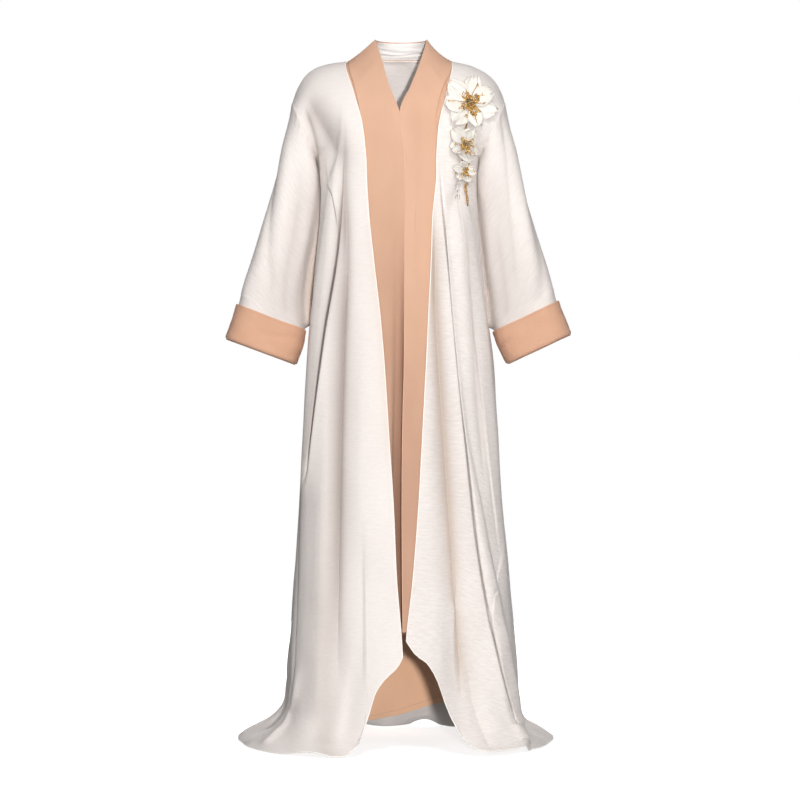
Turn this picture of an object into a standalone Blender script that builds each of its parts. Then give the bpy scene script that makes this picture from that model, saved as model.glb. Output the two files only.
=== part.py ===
"""Floor-length open abaya cloak, worn and hollow, as separate sewn pieces.

The garment faces -Y and stands up along +Z, with the wearer's right at -X. Its origin is the base
of the neck, between the shoulders, where the wearer carries it, so the floor is at -CARRY_HEIGHT.

Every piece of cloth is an open sheet of points with a Solidify wall. A sheet is worked out from
rows of points: slanting rows from the shoulder seam down to the underarm, then level rings of the
body from the underarm to the floor, with a smooth curve down through all of them.
"""
import math

import bpy
import numpy as np

# ------------------------------------------------------------------ driving sizes, in metres
CARRY_HEIGHT = 1.42        # base of the neck above the floor
IVORY_WALL = 0.0015        # outer cloth
PEACH_WALL = 0.0012        # inner cloth and cuffs
PETAL_WALL = 0.0010        # cloth petals of the spray
SEAM_GAP = 0.0003          # left between two pieces that are sewn to each other
TILTED_SEAM = 0.0006       # half of the gap between the walls' middles where their rims are tilted
LEAST_LIFT = 0.0012        # middle of a wall that lies on the floor, above it
EDGE_FADE = 0.035          # the outer fronts' folds start this far from the free edge
SIDE_FADE = 0.030          # and end this far from the side
BACK_FADE = 0.08           # the back's folds end this share of its width from the side seams

ARMHOLE_DEPTH = 0.075      # half of the armhole's extent from front to back
NECKLINE_DEPTH = 0.0655    # the back neck seam, behind the shoulder line
NECKLINE_RISE = 0.0095     # the back neck seam, above its ends on the shoulder
CENTRE_BACK_DEPTH = 0.105  # the back at underarm height, behind the shoulder line
SHOULDER_SHARE = 5 / 9     # of the back's top edge from the armhole to its middle
BACK_HANDLE = 0.060        # how straight the back's rows run past its middle
BACK_DROP = 1.1            # its rows lie closer together towards the shoulders
YOKE_BEND = 1.25           # how squarely the outer front's free edge comes over the shoulder
STAND_BEND = 1.3           # how much more the stand leans out towards its seam
STAND_DEPTH = 0.047        # top of the collar stand at centre back
STAND_HEIGHT = 0.0487      # top of the collar stand above the base of the neck

INNER_INSET = 0.0045       # the inner fronts, inside the outer ones
UNDER_LAP = 0.022          # the right inner front goes on this far behind the left one
LAP_STEP = 0.0048          # and lies this much deeper there
LAP_RISE = 0.020           # it goes in over this width
LAP_FROM = (0.50, 0.75)    # and between these places down the yoke
LAPEL_ROLL = 0.004         # how far the lapels roll forward beside their neck edge
INNER_BACK_INSET = (0.008, 0.034)  # the inner back, inside the back, at its top and its hem
INNER_BACK_SIDE = 0.03     # how far across the back its edges stop short of the side seams
UNDER_COLLAR_START = 0.70  # how far across the lapel the under-collar starts
UNDER_COLLAR_BEYOND = 0.014  # how far it goes on under the outer front
UNDER_COLLAR_ENDS = (0.03, 0.74)  # where down the yoke it starts and ends
COLLAR_CLEAR = 0.0018      # the stand, behind the lapels' top edges and above its seam
FACING_INSET = 0.0028      # the facing, inside the stand
FACING_ENDS = (0.04, 0.94)  # how far down the stand it starts and ends
CUFF_OFFSET = 0.0036       # the cuff's outer layer, outside the sleeve
CUFF_FLARE = 0.0012        # how much further out its free upper edge stands
CUFF_RETURN = 0.45         # its inner layer goes back up this much of a ring
CUFF_INNER = 0.85          # and lies this share of the offset inside the sleeve
CUFF_TURN = (0.03, 0.02)   # the fold starts this much of a ring above the edge and reaches below it
CUFF_SLOPE_STEP = 0.05     # part of a ring over which the direction beyond the edge is measured
SLEEVE_SHIFT = 0.0013      # the sleeve head, clear of the armhole seam
ARMPIT_SHIFT = 1.4         # how many times more at the underarm, where two walls hang side by side
SLEEVE_SHORT = 0.12        # the sleeve's own edge, inside the cuff's fold, as a share of a ring
BEAD_WALL = 0.0030         # depth of the metal beading
PETAL_CUP = 0.0015         # how much a petal's sides rise
PETAL_SHAPE = (0.13, 0.70)  # the part of a half wave that gives a petal's width from foot to tip
PETAL_CURVE = 1.4          # how late along it a petal rises

FRONT_HOLD = 6             # how narrowly a front's side is drawn onto its seam
BACK_HOLD = 10             # and the back's
MID_COLUMN = 0.6           # the place across a front that sets how its rows are spaced
TANGENT_STEP = 0.02        # down the yoke, over which the direction of an edge is measured
HEM_SEARCH = 800           # steps down a column in the search for its hem
FOLD_IN = (-0.12, 0.10)    # a fold fades in between these shares of its length
FOLD_OUT = (0.98, 1.10)    # and out between these

# Just above the floor the cloth is tucked in at the sides, in front of the flare of the back.
TUCK = {"right": 0.034, "left": 0.024}  # how deep
TUCK_HEIGHTS = (0.045, 0.170)  # where it is deepest, and where it starts, above the floor
TUCK_Y = -0.014            # its middle
TUCK_WIDTH = 0.031         # its half width along the side
TUCK_FROM = (0.15, 0.21)   # it fades in between these distances from the middle of the body

# How far down a long sheet its rows lie, closer together over the shoulder and by the floor.
ROW_SPACING = [(0.0, 0.0), (0.34, 0.17), (0.74, 0.90), (1.0, 1.0)]

LAPEL_CROWDING = 1.25      # the inner fronts' rows, closer together towards the top

# How many steps each sheet has across and down.
FRONT_STEPS = (13, 24)
BACK_STEPS = (18, 24)
SLEEVE_STEPS = (14, 9)
CUFF_STEPS = (14, 2)
INNER_FRONT_STEPS = (6, 20)
INNER_BACK_STEPS = (10, 7)
COLLAR_STEPS = (10, 3)
FACING_STEPS = (10, 2)
UNDER_COLLAR_STEPS = (2, 6)
PETAL_STEPS = (3, 3)

IVORY = (0.80, 0.76, 0.71, 1.0)
PEACH = (0.78, 0.50, 0.35, 1.0)
PETAL_WHITE = (0.85, 0.83, 0.80, 1.0)
GOLD = (0.72, 0.46, 0.12, 1.0)
SILVER = (0.62, 0.61, 0.60, 1.0)


def table(columns, rows):
    """A short table as one array for each named column."""
    return dict(zip(columns.split(), np.array(rows, float).T))


# Rings of the body. Heights are above the floor. side_y is where the side seam lies, square says
# how full the ring's corners are (2 is an ellipse), and edge is x of the outer front's free edge.
BODY = table("height side_right side_left side_y front back square edge_right edge_left centre", [
    (1.2150, 0.1736, 0.1632, 0.000, 0.130, 0.105, 2.35, -0.0700, 0.0750, 0.0088),
    (1.1700, 0.1670, 0.1580, 0.000, 0.135, 0.107, 2.35, -0.0684, 0.0747, 0.0097),
    (1.1000, 0.1660, 0.1590, 0.000, 0.143, 0.110, 2.30, -0.0641, 0.0674, 0.0097),
    (1.0000, 0.1740, 0.1680, 0.002, 0.152, 0.116, 2.30, -0.0537, 0.0636, 0.0095),
    (0.9000, 0.1850, 0.1800, 0.004, 0.159, 0.124, 2.25, -0.0420, 0.0586, 0.0093),
    (0.8000, 0.1940, 0.1930, 0.006, 0.165, 0.134, 2.25, -0.0329, 0.0539, 0.0085),
    (0.6500, 0.2024, 0.2029, 0.010, 0.178, 0.152, 2.20, -0.0231, 0.0458, 0.0050),
    (0.5000, 0.2105, 0.2130, 0.015, 0.193, 0.173, 2.20, -0.0133, 0.0376, 0.0038),
    (0.3500, 0.2206, 0.2280, 0.022, 0.209, 0.197, 2.15, -0.0065, 0.0257, 0.0045),
    (0.2200, 0.2300, 0.2400, 0.030, 0.226, 0.222, 2.10, 0.0040, 0.0120, 0.0060),
    (0.1200, 0.2400, 0.2490, 0.038, 0.240, 0.243, 2.05, 0.0078, 0.0104, 0.0060),
    (0.0700, 0.2500, 0.2530, 0.045, 0.249, 0.255, 2.00, 0.0078, 0.0104, 0.0060),
    (0.0420, 0.2790, 0.2640, 0.055, 0.258, 0.264, 2.00, 0.0078, 0.0104, 0.0060),
    (0.0240, 0.3110, 0.2930, 0.068, 0.268, 0.273, 2.00, 0.0078, 0.0104, 0.0060),
    (0.0100, 0.3340, 0.3140, 0.080, 0.280, 0.284, 2.00, 0.0078, 0.0104, 0.0060),
    (0.0015, 0.3430, 0.3250, 0.090, 0.292, 0.296, 2.00, 0.0078, 0.0104, 0.0060),
])

# The yoke, from the shoulder seam (0) to the underarm (1): x of the outer front's edge, and the
# neck edge of the inner fronts, which the lapels leave from the collar tips to the point of the V.
YOKE = table("down edge_right edge_left v_right v_left v_y v_z", [
    (0.00, -0.1130, 0.1090, -0.0510, 0.0560, -0.0005, 0.0487),
    (0.25, -0.1122, 0.1080, -0.0374, 0.0426, -0.0420, 0.0009),
    (0.50, -0.0958, 0.0968, -0.0223, 0.0223, -0.0780, -0.0554),
    (0.75, -0.0772, 0.0798, -0.0006, -0.0006, -0.1060, -0.1121),
])

# The lapels' outer edge, beside the outer front's edge (below 0) or under it (above 0), how deep it
# lies there, and how deep the under-collar lies.
LAPEL = table("down beyond_right beyond_left inset under", [
    (0.00, -0.0060, -0.0015, 0.0000, 0.0034),
    (0.25, -0.0065, -0.0015, 0.0000, 0.0036),
    (0.50, -0.0050, -0.0115, 0.0012, 0.0048),
    (0.75, 0.0040, -0.0060, 0.0042, 0.0090),
    (1.00, 0.0350, 0.0350, 0.0045, 0.0080),
])
# How far the inner fronts go on under the outer ones.
INNER_REACH = table("height beyond", [
    (0.20, 0.055), (0.50, 0.060), (1.00, 0.055), (1.17, 0.040), (1.30, 0.025),
])

# One line for each side: the armhole's top and bottom, the shoulder seam's two handles, and how the
# lapel's top edge leaves the neck and reaches the shoulder seam.
SIDES = {
    "right": dict(sign=-1, top=(-0.2249, -0.0858), bottom=(-0.1736, -0.2050),
                  near_neck=(-0.1800, -0.0015), near_arm=(-0.2090, -0.0250),
                  from_tip=(-0.0130, -0.0095), to_shoulder=(0.0280, 0.0185)),
    "left": dict(sign=1, top=(0.2186, -0.0858), bottom=(0.1632, -0.2050),
                 near_neck=(0.1650, -0.0090), near_arm=(0.2060, -0.0250),
                 from_tip=(0.0085, -0.0110), to_shoulder=(-0.0280, 0.0130)),
}
SHOULDER_Z = 0.002         # the inner end of the shoulder seam

# How a yoke row leaves the armhole, and the outer front's free edge: halfway down the yoke and at
# the underarm, with x towards the other end of the row.
ARM_HANDLES = ((0.040, 0.012, 0.030), (0.0, 0.060, 0.0))
EDGE_HANDLES = ((0.060, -0.004, -0.012), (0.055, -0.004, 0.0))

# The cut-away front corners: the hem's height above the floor at each x, outwards.
HEM_RIGHT = table("x height", [
    (-0.0120, 0.208), (-0.0090, 0.208), (-0.0010, 0.191), (0.0350, 0.150), (0.0508, 0.124),
    (0.0617, 0.088), (0.0727, 0.056), (0.0855, 0.029), (0.1015, 0.014), (0.1315, 0.004),
    (0.1600, 0.000),
])
HEM_LEFT = table("x height", [
    (0.0000, 0.240), (0.0104, 0.233), (0.0280, 0.209), (0.0608, 0.179), (0.0756, 0.152),
    (0.0948, 0.100), (0.1168, 0.050), (0.1348, 0.026), (0.1528, 0.012), (0.1767, 0.004),
    (0.2000, 0.000),
])
INNER_BACK_HEM = table("x height", [
    (-0.30, 0.040), (-0.06, 0.034), (0.00, 0.041), (0.08, 0.063), (0.30, 0.070),
])
INNER_BACK_TOP = 1.15      # top edge of the inner back, above the floor
INNER_FRONT_HEM = {"right": 0.2450, "left": 0.2480}

# The sleeves, from the armhole down: outer and inner side of each ring, its middle and half depth.
SLEEVE_COLUMNS = "outer_x outer_z inner_x inner_z middle_y depth"
SLEEVES = {
    "right": table(SLEEVE_COLUMNS, [
        (-0.2249, -0.0858, -0.1736, -0.2050, 0.000, 0.075),
        (-0.2437, -0.1715, -0.1726, -0.2448, -0.004, 0.070),
        (-0.2646, -0.2657, -0.1726, -0.2970, -0.010, 0.063),
        (-0.2877, -0.3452, -0.1799, -0.3619, -0.018, 0.059),
        (-0.3107, -0.4226, -0.1946, -0.4351, -0.026, 0.056),
        (-0.3253, -0.4707, -0.2020, -0.4979, -0.031, 0.055),
        (-0.3345, -0.5069, -0.2000, -0.5606, -0.035, 0.054),
        (-0.3588, -0.5774, -0.2185, -0.6297, -0.038, 0.055),
    ]),
    "left": table(SLEEVE_COLUMNS, [
        (0.2186, -0.0858, 0.1632, -0.2050, 0.000, 0.075),
        (0.2374, -0.1715, 0.1625, -0.2468, -0.004, 0.070),
        (0.2584, -0.2657, 0.1655, -0.2970, -0.010, 0.063),
        (0.2803, -0.3452, 0.1715, -0.3640, -0.018, 0.059),
        (0.3044, -0.4226, 0.1800, -0.4372, -0.026, 0.056),
        (0.3169, -0.4707, 0.1890, -0.4958, -0.031, 0.055),
        (0.3245, -0.5000, 0.1975, -0.5627, -0.035, 0.054),
        (0.3525, -0.5682, 0.2250, -0.6282, -0.038, 0.055),
    ]),
}
CUFF_TOP_ROW = 6           # the sleeve ring where the cuff's upper edge lies

# The largest folds, each a soft ridge (height above 0) or trough (below 0) down the cloth. x0 and
# x1 are where it starts and ends, at heights z0 and z1, and bow bends it between them. width is
# its half width at each end, and steep is how much steeper its outer flank is than its inner one.
FOLD_COLUMNS = "x0 z0 x1 z1 bow width0 width1 height0 height1 steep"
FRONT_FOLDS = {
    "right": table(FOLD_COLUMNS, [
        (-0.117, -0.16, -0.193, -0.86, -0.010, 0.020, 0.024, 0.008, 0.012, 2.5),
        (-0.112, -0.30, -0.125, -1.38, 0.010, 0.020, 0.035, -0.003, -0.016, 1.0),
        (-0.080, -0.60, -0.150, -1.41, 0.012, 0.020, 0.040, 0.002, 0.014, 1.0),
        (-0.150, -0.50, -0.190, -1.41, 0.006, 0.022, 0.035, 0.003, 0.010, 1.0),
    ]),
    "left": table(FOLD_COLUMNS, [
        (0.078, -0.20, 0.238, -1.40, -0.030, 0.022, 0.030, 0.004, 0.016, 2.5),
        (0.110, -0.20, 0.212, -1.06, 0.014, 0.020, 0.022, 0.006, 0.006, 2.5),
        (0.080, -0.62, 0.125, -1.30, -0.006, 0.020, 0.030, -0.004, -0.012, 1.0),
        (0.120, -0.80, 0.190, -1.41, 0.006, 0.022, 0.040, 0.002, 0.014, 1.0),
    ]),
}
INNER_FOLDS = {
    "right": table(FOLD_COLUMNS, [
        (-0.004, -0.36, -0.003, -1.30, 0.000, 0.010, 0.008, -0.002, -0.012, 1.0),
    ]),
    "left": table(FOLD_COLUMNS, [
        (0.050, -0.10, 0.040, -0.45, 0.000, 0.014, 0.014, -0.003, -0.002, 1.0),
    ]),
}
BACK_FOLDS = table(FOLD_COLUMNS, [
    (-0.020, -0.30, -0.030, -1.41, 0.004, 0.035, 0.045, -0.002, -0.026, 1.0),
    (0.120, -0.24, 0.130, -1.41, 0.008, 0.035, 0.045, -0.002, -0.024, 1.0),
    (-0.110, -0.22, -0.125, -1.41, -0.008, 0.035, 0.045, 0.003, 0.018, 1.0),
    (0.050, -0.30, 0.055, -1.41, 0.006, 0.035, 0.040, 0.003, 0.016, 1.0),
])

# The spray on the wearer's left chest: each blossom's middle, its ring of petals, their length and
# width, the first one's direction (degrees from straight up, towards +X), and how far they lift.
BLOSSOMS = table("x z petals length width turn lift", [
    (0.1410, -0.0970, 7, 0.042, 0.0375, 8, 0.009),
    (0.1280, -0.1800, 5, 0.027, 0.029, 30, 0.007),
    (0.1260, -0.2370, 5, 0.018, 0.019, 5, 0.005),
])
PETAL_START = 0.18         # how far from a blossom's middle its petals start, in their lengths
PETAL_VARIETY = 0.10       # how much longer or shorter they grow
PETAL_SWAY = 3.0           # how far they turn from an even ring, in degrees
PETAL_FOOT_LIFT = 0.0030   # a petal's foot above the cloth
PETAL_LAYER = 0.0036       # and how much higher every second one starts
# The metal beading on the same front: name, foot, turn, length, width, height and metal.
BEADING = [
    ("beads_upper", 0.1410, -0.1020, 0, 0.010, 0.010, 0.0115, GOLD),
    ("beads_middle", 0.1280, -0.1835, 0, 0.007, 0.007, 0.0118, GOLD),
    ("beads_lower", 0.1260, -0.2390, 0, 0.004, 0.004, 0.0113, GOLD),
    ("bead_stem", 0.1360, -0.3010, -6, 0.038, 0.006, 0.0026, GOLD),
    ("bead_fringe", 0.1170, -0.3010, 0, 0.038, 0.010, 0.0026, SILVER),
]


# ------------------------------------------------------------------ curves and sheets
def smooth(knots, rows, at):
    """Rows (one for each knot) read at the places at, on a smooth curve through all of them."""
    rows = np.asarray(rows, float)
    at = np.asarray(at, float)
    slopes = np.gradient(rows, knots, axis=0, edge_order=2)
    index = np.clip(np.searchsorted(knots, at, side="right") - 1, 0, len(knots) - 2)
    step = knots[index + 1] - knots[index]
    t = (at - knots[index]) / step
    tail = (1,) * (rows.ndim - 1)
    step = step.reshape(step.shape + tail)
    t = t.reshape(t.shape + tail)
    start = (2 * t**3 - 3 * t**2 + 1) * rows[index] + (t**3 - 2 * t**2 + t) * step * slopes[index]
    end = (3 * t**2 - 2 * t**3) * rows[index + 1] + (t**3 - t**2) * step * slopes[index + 1]
    return start + end


def bezier(p0, p1, p2, p3, t):
    """Points of a cubic curve at the places t."""
    t = np.asarray(t, float)[:, None]
    return ((1 - t)**3 * np.asarray(p0) + 3 * (1 - t)**2 * t * np.asarray(p1)
            + 3 * (1 - t) * t**2 * np.asarray(p2) + t**3 * np.asarray(p3))


def through_three(first, middle, last, t):
    """The vector at t on a parabola through three vectors, at 0, 0.5 and 1."""
    first, middle, last = (np.asarray(v, float) for v in (first, middle, last))
    return (2 * (t - 0.5) * (t - 1) * first + 4 * t * (1 - t) * middle
            + 2 * t * (t - 0.5) * last)


def normals(points, wrap=False):
    """Unit normals of a grid of points (down, across), with the last step joined on if it wraps."""
    if wrap:
        across = np.roll(points, -1, axis=1) - np.roll(points, 1, axis=1)
    else:
        across = np.gradient(points, axis=1)
    down = np.gradient(points, axis=0)
    normal = np.cross(across, down)
    return normal / np.maximum(np.linalg.norm(normal, axis=2, keepdims=True), 1e-9)


def outward(points, wrap=False):
    """Normals that point away from the body's upright middle line."""
    normal = normals(points, wrap)
    middle = points.mean(axis=(0, 1))
    centre = np.array([0.0, 0.0, middle[2]])
    if np.sum(normal * (points - centre)) < 0:
        normal = -normal
    return normal


def fold_height(folds, x, z):
    """How far the folds move the cloth out (or in, below 0) at each x and z."""
    total = np.zeros(np.shape(x))
    for index in range(len(folds["x0"])):
        f = {name: values[index] for name, values in folds.items()}
        along = (z - f["z0"]) / (f["z1"] - f["z0"])
        inside = np.clip(along, 0, 1)
        line = f["x0"] + (f["x1"] - f["x0"]) * inside + f["bow"] * np.sin(math.pi * inside)
        width = f["width0"] + (f["width1"] - f["width0"]) * inside
        height = f["height0"] + (f["height1"] - f["height0"]) * inside
        fade = np.interp(along, FOLD_IN, (0, 1)) * np.interp(along, FOLD_OUT, (1, 0))
        away = (x - line) * np.sign(f["x0"])
        across = away / np.where(away > 0, width / f["steep"], width)
        total += height * fade * fade * (3 - 2 * fade) * np.exp(-across**2)
    return total


# ------------------------------------------------------------------ the body's rows
def armhole(side, angle, towards):
    """A point of the armhole, at an angle from its top to its bottom. towards is -1 for the front."""
    top = np.array([SIDES[side]["top"][0], 0.0, SIDES[side]["top"][1]])
    bottom = np.array([SIDES[side]["bottom"][0], 0.0, SIDES[side]["bottom"][1]])
    point = (top + bottom) / 2 + math.cos(angle) * (top - bottom) / 2
    gap = SEAM_GAP / 2 + (TILTED_SEAM - SEAM_GAP / 2) * (1 + math.cos(angle)) / 2
    point[1] = towards * (math.sin(angle) * ARMHOLE_DEPTH + gap)
    return point


def arm_handle(side, down, towards):
    """The direction in which a yoke row leaves the armhole."""
    sign = SIDES[side]["sign"]
    at_top = np.subtract(SIDES[side]["near_arm"], SIDES[side]["top"])
    halfway, under = (np.multiply(v, (-sign, 1, 1)) for v in ARM_HANDLES)
    return through_three((at_top[0], 0, at_top[1]), halfway, under, down) * (1, towards, 1)


def edge_handle(side, down):
    """The direction in which a yoke row leaves the outer front's free edge."""
    sign = SIDES[side]["sign"]
    at_top = np.subtract(SIDES[side]["near_neck"], (YOKE["edge_" + side][0], SHOULDER_Z))
    halfway, under = (np.multiply(v, (sign, 1, 1)) for v in EDGE_HANDLES)
    return through_three((at_top[0], 0, at_top[1]), halfway, under, down)


def ring_points(row, side, turns, towards, inset=0.0):
    """Points of a level ring of the body at turns from 0, its middle, to 90 degrees, its side."""
    half = BODY["side_" + side][row] - inset
    reach = BODY["front" if towards < 0 else "back"][row] - inset
    square = BODY["square"][row]
    side_y = BODY["side_y"][row] * towards
    sine = np.sin(np.asarray(turns, float))
    full = np.maximum(1 - np.abs(sine)**square, 0)**(1 / square)
    x = SIDES[side]["sign"] * half * sine
    y = towards * (side_y + SEAM_GAP / 2 + (reach - side_y) * full)
    z = np.full(sine.shape, BODY["height"][row] - CARRY_HEIGHT)
    return np.stack([x, y, z], axis=-1)


def turn_at(row, side, x, inset=0.0):
    """The turn at which a level ring of the body reaches x."""
    share = SIDES[side]["sign"] * x / (BODY["side_" + side][row] - inset)
    return math.asin(max(-0.99, min(0.99, share)))


def edge_place(side, z):
    """x of the outer front's free edge at each z."""
    yoke = np.array([yoke_edge(side, down) for down in YOKE["down"]])
    heights = np.concatenate([yoke[:, 2], BODY["height"] - CARRY_HEIGHT])[::-1]
    places = np.concatenate([yoke[:, 0], BODY["edge_" + side]])[::-1]
    return np.interp(z, heights, places)


def front_fold_height(side, x, z):
    """The outer front's folds, faded out towards its free edge and its outer side."""
    out = SIDES[side]["sign"] * x
    half = np.interp(z, (BODY["height"] - CARRY_HEIGHT)[::-1], BODY["side_" + side][::-1])
    from_edge = ease((out - SIDES[side]["sign"] * edge_place(side, z)) / EDGE_FADE)
    from_side = ease((half - out) / SIDE_FADE)
    return fold_height(FRONT_FOLDS[side], x, z) * from_edge * from_side


def yoke_edge(side, down):
    """A point of the outer front's free edge, between the shoulder (0) and the underarm (1)."""
    under = ring_points(0, side, [turn_at(0, side, BODY["edge_" + side][0])], -1)[0]
    quarter = down * math.pi / 2
    x = np.interp(down, np.append(YOKE["down"], 1), np.append(YOKE["edge_" + side], under[0]))
    y = (under[1] + TILTED_SEAM) * math.sin(quarter)**YOKE_BEND - TILTED_SEAM
    z = SHOULDER_Z + (under[2] - SHOULDER_Z) * (1 - math.cos(quarter)**YOKE_BEND)
    return np.array([x, y, z])


def edge_frame(side, down):
    """The outer front's free edge: a point, the direction across the front there, and its normal."""
    handle = edge_handle(side, down)
    handle = handle / np.linalg.norm(handle)
    low, high = min(down + TANGENT_STEP, 1), max(down - TANGENT_STEP, 0)
    run = yoke_edge(side, low) - yoke_edge(side, high)
    normal = np.cross(run, handle) * SIDES[side]["sign"]
    return yoke_edge(side, down), handle, normal / np.linalg.norm(normal)


def front_rows(side, across):
    """Rows of an outer front at the places across, from its free edge (0) to its outer side (1)."""
    across = np.asarray(across, float)
    rows = []
    for down in YOKE["down"]:
        edge = yoke_edge(side, down)
        outer = armhole(side, down * math.pi, -1)
        rows.append(bezier(edge, edge + edge_handle(side, down),
                           outer + arm_handle(side, down, -1), outer, across))
    for row in range(len(BODY["height"])):
        start = turn_at(row, side, BODY["edge_" + side][row])
        rows.append(ring_points(row, side, start + (math.pi / 2 - start) * across, -1))
    return np.array(rows)


def neckline(side, share):
    """The back neck seam, from its end on the shoulder (0) to centre back (1)."""
    turn = np.asarray(share, float) * math.pi / 2
    x = YOKE["edge_" + side][0] * np.cos(turn)
    y = NECKLINE_DEPTH * np.sin(turn) + TILTED_SEAM
    z = SHOULDER_Z + NECKLINE_RISE * np.sin(turn)**2
    return np.stack([x, y, z], axis=-1)


def back_half_rows(side, across):
    """Rows of one half of the back at the places across, from its outer side (0) to its middle (1)."""
    across = np.asarray(across, float)
    sign = SIDES[side]["sign"]
    data = SIDES[side]
    rows = []
    for down in YOKE["down"]:
        outer = armhole(side, down * math.pi, 1)
        if down == 0:
            seam = bezier(outer, (data["near_arm"][0], TILTED_SEAM, data["near_arm"][1]),
                          (data["near_neck"][0], TILTED_SEAM, data["near_neck"][1]),
                          neckline(side, 0), np.clip(across / SHOULDER_SHARE, 0, 1))
            neck = neckline(side, (across - SHOULDER_SHARE) / (1 - SHOULDER_SHARE))
            rows.append(np.where(across[:, None] < SHOULDER_SHARE, seam, neck))
            continue
        middle = np.array([
            0, NECKLINE_DEPTH + (CENTRE_BACK_DEPTH - NECKLINE_DEPTH) * math.sin(down * math.pi / 2),
            SHOULDER_Z + NECKLINE_RISE + (SIDES[side]["bottom"][1] - SHOULDER_Z) * down**BACK_DROP])
        rows.append(bezier(outer, outer + arm_handle(side, down, 1),
                           middle + (sign * BACK_HANDLE, 0, 0), middle, across))
    for row in range(len(BODY["height"])):
        rows.append(ring_points(row, side, math.pi / 2 * (1 - across), 1))
    return np.array(rows)


def back_rows(across):
    """Rows of the whole back at the places across, from the wearer's right (0) to the left (1)."""
    across = np.asarray(across, float)
    right = back_half_rows("right", 2 * across[across <= 0.5])
    left = back_half_rows("left", 2 * (1 - across[across > 0.5]))
    return np.concatenate([right, left], axis=1)


def row_knots(column):
    """The length run down one column of rows, as a knot for each row."""
    steps = np.linalg.norm(np.diff(column, axis=0), axis=1)
    return np.concatenate([[0], np.cumsum(steps)])


def body_knots():
    """One knot for each row, shared by the fronts and the back so that their side seams match."""
    return row_knots(front_rows("right", [MID_COLUMN])[:, 0])


# ------------------------------------------------------------------ sheets cut from the rows
def cut_down(knots, column, level):
    """Where a column first comes down to the height that level gives for its x, as a knot."""
    at = np.linspace(0, knots[-1], HEM_SEARCH)
    path = smooth(knots, column, at)
    below = np.flatnonzero(path[:, 2] + CARRY_HEIGHT < level(path[:, 0]))
    return at[below[0]] if len(below) else knots[-1]


def hem_level(hem, sign):
    """A hem's height above the floor as a function of x, from its table outwards."""
    def level(x):
        out = np.clip(sign * x, hem["x"][0], hem["x"][-1])
        return smooth(hem["x"], hem["height"], out)
    return level


def spacing(steps):
    """The rows of a long sheet, as shares of its length."""
    step, share = np.array(ROW_SPACING).T
    return np.interp(np.linspace(0, 1, steps + 1), step, share)


def inner_spacing(steps):
    """The rows of an inner front, closer together in the lapel."""
    return np.linspace(0, 1, steps + 1)**LAPEL_CROWDING


def sheet_points(knots, rows, tops, bottoms, down):
    """A grid of points: each column of rows, read from its top to its bottom at the shares down."""
    columns = [smooth(knots, rows[:, j], tops[j] + (bottoms[j] - tops[j]) * down)
               for j in range(rows.shape[1])]
    return np.stack(columns, axis=1)


def yoke_share(knots, at):
    """How far down the yoke each knot is, from the shoulder (0) to the underarm (1)."""
    return np.interp(at, knots[:len(YOKE["down"]) + 1], np.append(YOKE["down"], 1))


def hold_seam(points, knots, down, side, column, towards, weights):
    """Moves a sheet's outer edge exactly onto the armhole and the side seam, and its neighbours
    part of the way."""
    at = down * knots[-1]
    under = len(YOKE["down"])
    exact = points[:, column].copy()
    low = smooth(knots[under:], BODY["height"], at) < TUCK_HEIGHTS[1]
    gap = np.where(low, TILTED_SEAM, SEAM_GAP / 2)
    exact[:, 1] = smooth(knots[under:], BODY["side_y"], at) + towards * gap
    for row, share in enumerate(yoke_share(knots, at)):
        if share < 1:
            exact[row] = armhole(side, share * math.pi, towards)
    return points + (exact - points[:, column])[:, None, :] * weights[None, :, None]


def folded(points, height):
    """The sheet with its folds, kept off the floor."""
    points = points + outward(points) * height[..., None]
    points[..., 2] = np.maximum(points[..., 2], LEAST_LIFT - CARRY_HEIGHT)
    return points


def tucked(points):
    """The sheet with the tuck at each side, just above the floor."""
    x, height = points[..., 0], points[..., 2] + CARRY_HEIGHT
    low, high = TUCK_HEIGHTS
    shape = ease(height / low) * ease((high - height) / (high - low))
    shape = shape * np.exp(-((points[..., 1] - TUCK_Y) / TUCK_WIDTH)**2)
    shape = shape * ease((np.abs(x) - TUCK_FROM[0]) / (TUCK_FROM[1] - TUCK_FROM[0]))
    points[..., 0] -= np.sign(x) * shape * np.where(x < 0, TUCK["right"], TUCK["left"])
    return points


def ease(value):
    """0 below 0, 1 above 1, and smooth between."""
    value = np.clip(value, 0, 1)
    return value * value * (3 - 2 * value)


def front_points(side, steps):
    """The points of an outer front."""
    across = np.linspace(0, 1, steps[0] + 1)
    rows = front_rows(side, across)
    knots = body_knots()
    hem = hem_level(HEM_RIGHT if side == "right" else HEM_LEFT, SIDES[side]["sign"])
    bottoms = [cut_down(knots, rows[:, j], hem) for j in range(len(across))]
    bottoms[-1] = knots[-1]
    down = spacing(steps[1])
    points = sheet_points(knots, rows, np.zeros(len(across)), bottoms, down)
    points = hold_seam(points, knots, down, side, -1, -1, across**FRONT_HOLD)
    return tucked(folded(points, front_fold_height(side, points[..., 0], points[..., 2])))


def back_points(steps):
    """The points of the back."""
    across = np.linspace(0, 1, steps[0] + 1)
    rows = back_rows(across)
    knots = body_knots()
    down = spacing(steps[1])
    points = sheet_points(knots, rows, np.zeros(len(across)), [knots[-1]] * len(across), down)
    points = hold_seam(points, knots, down, "right", 0, 1, (1 - across)**BACK_HOLD)
    points = hold_seam(points, knots, down, "left", -1, 1, across**BACK_HOLD)
    fade = ease(across / BACK_FADE) * ease((1 - across) / BACK_FADE)
    return tucked(folded(points, fold_height(BACK_FOLDS, points[..., 0], points[..., 2]) * fade))


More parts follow.
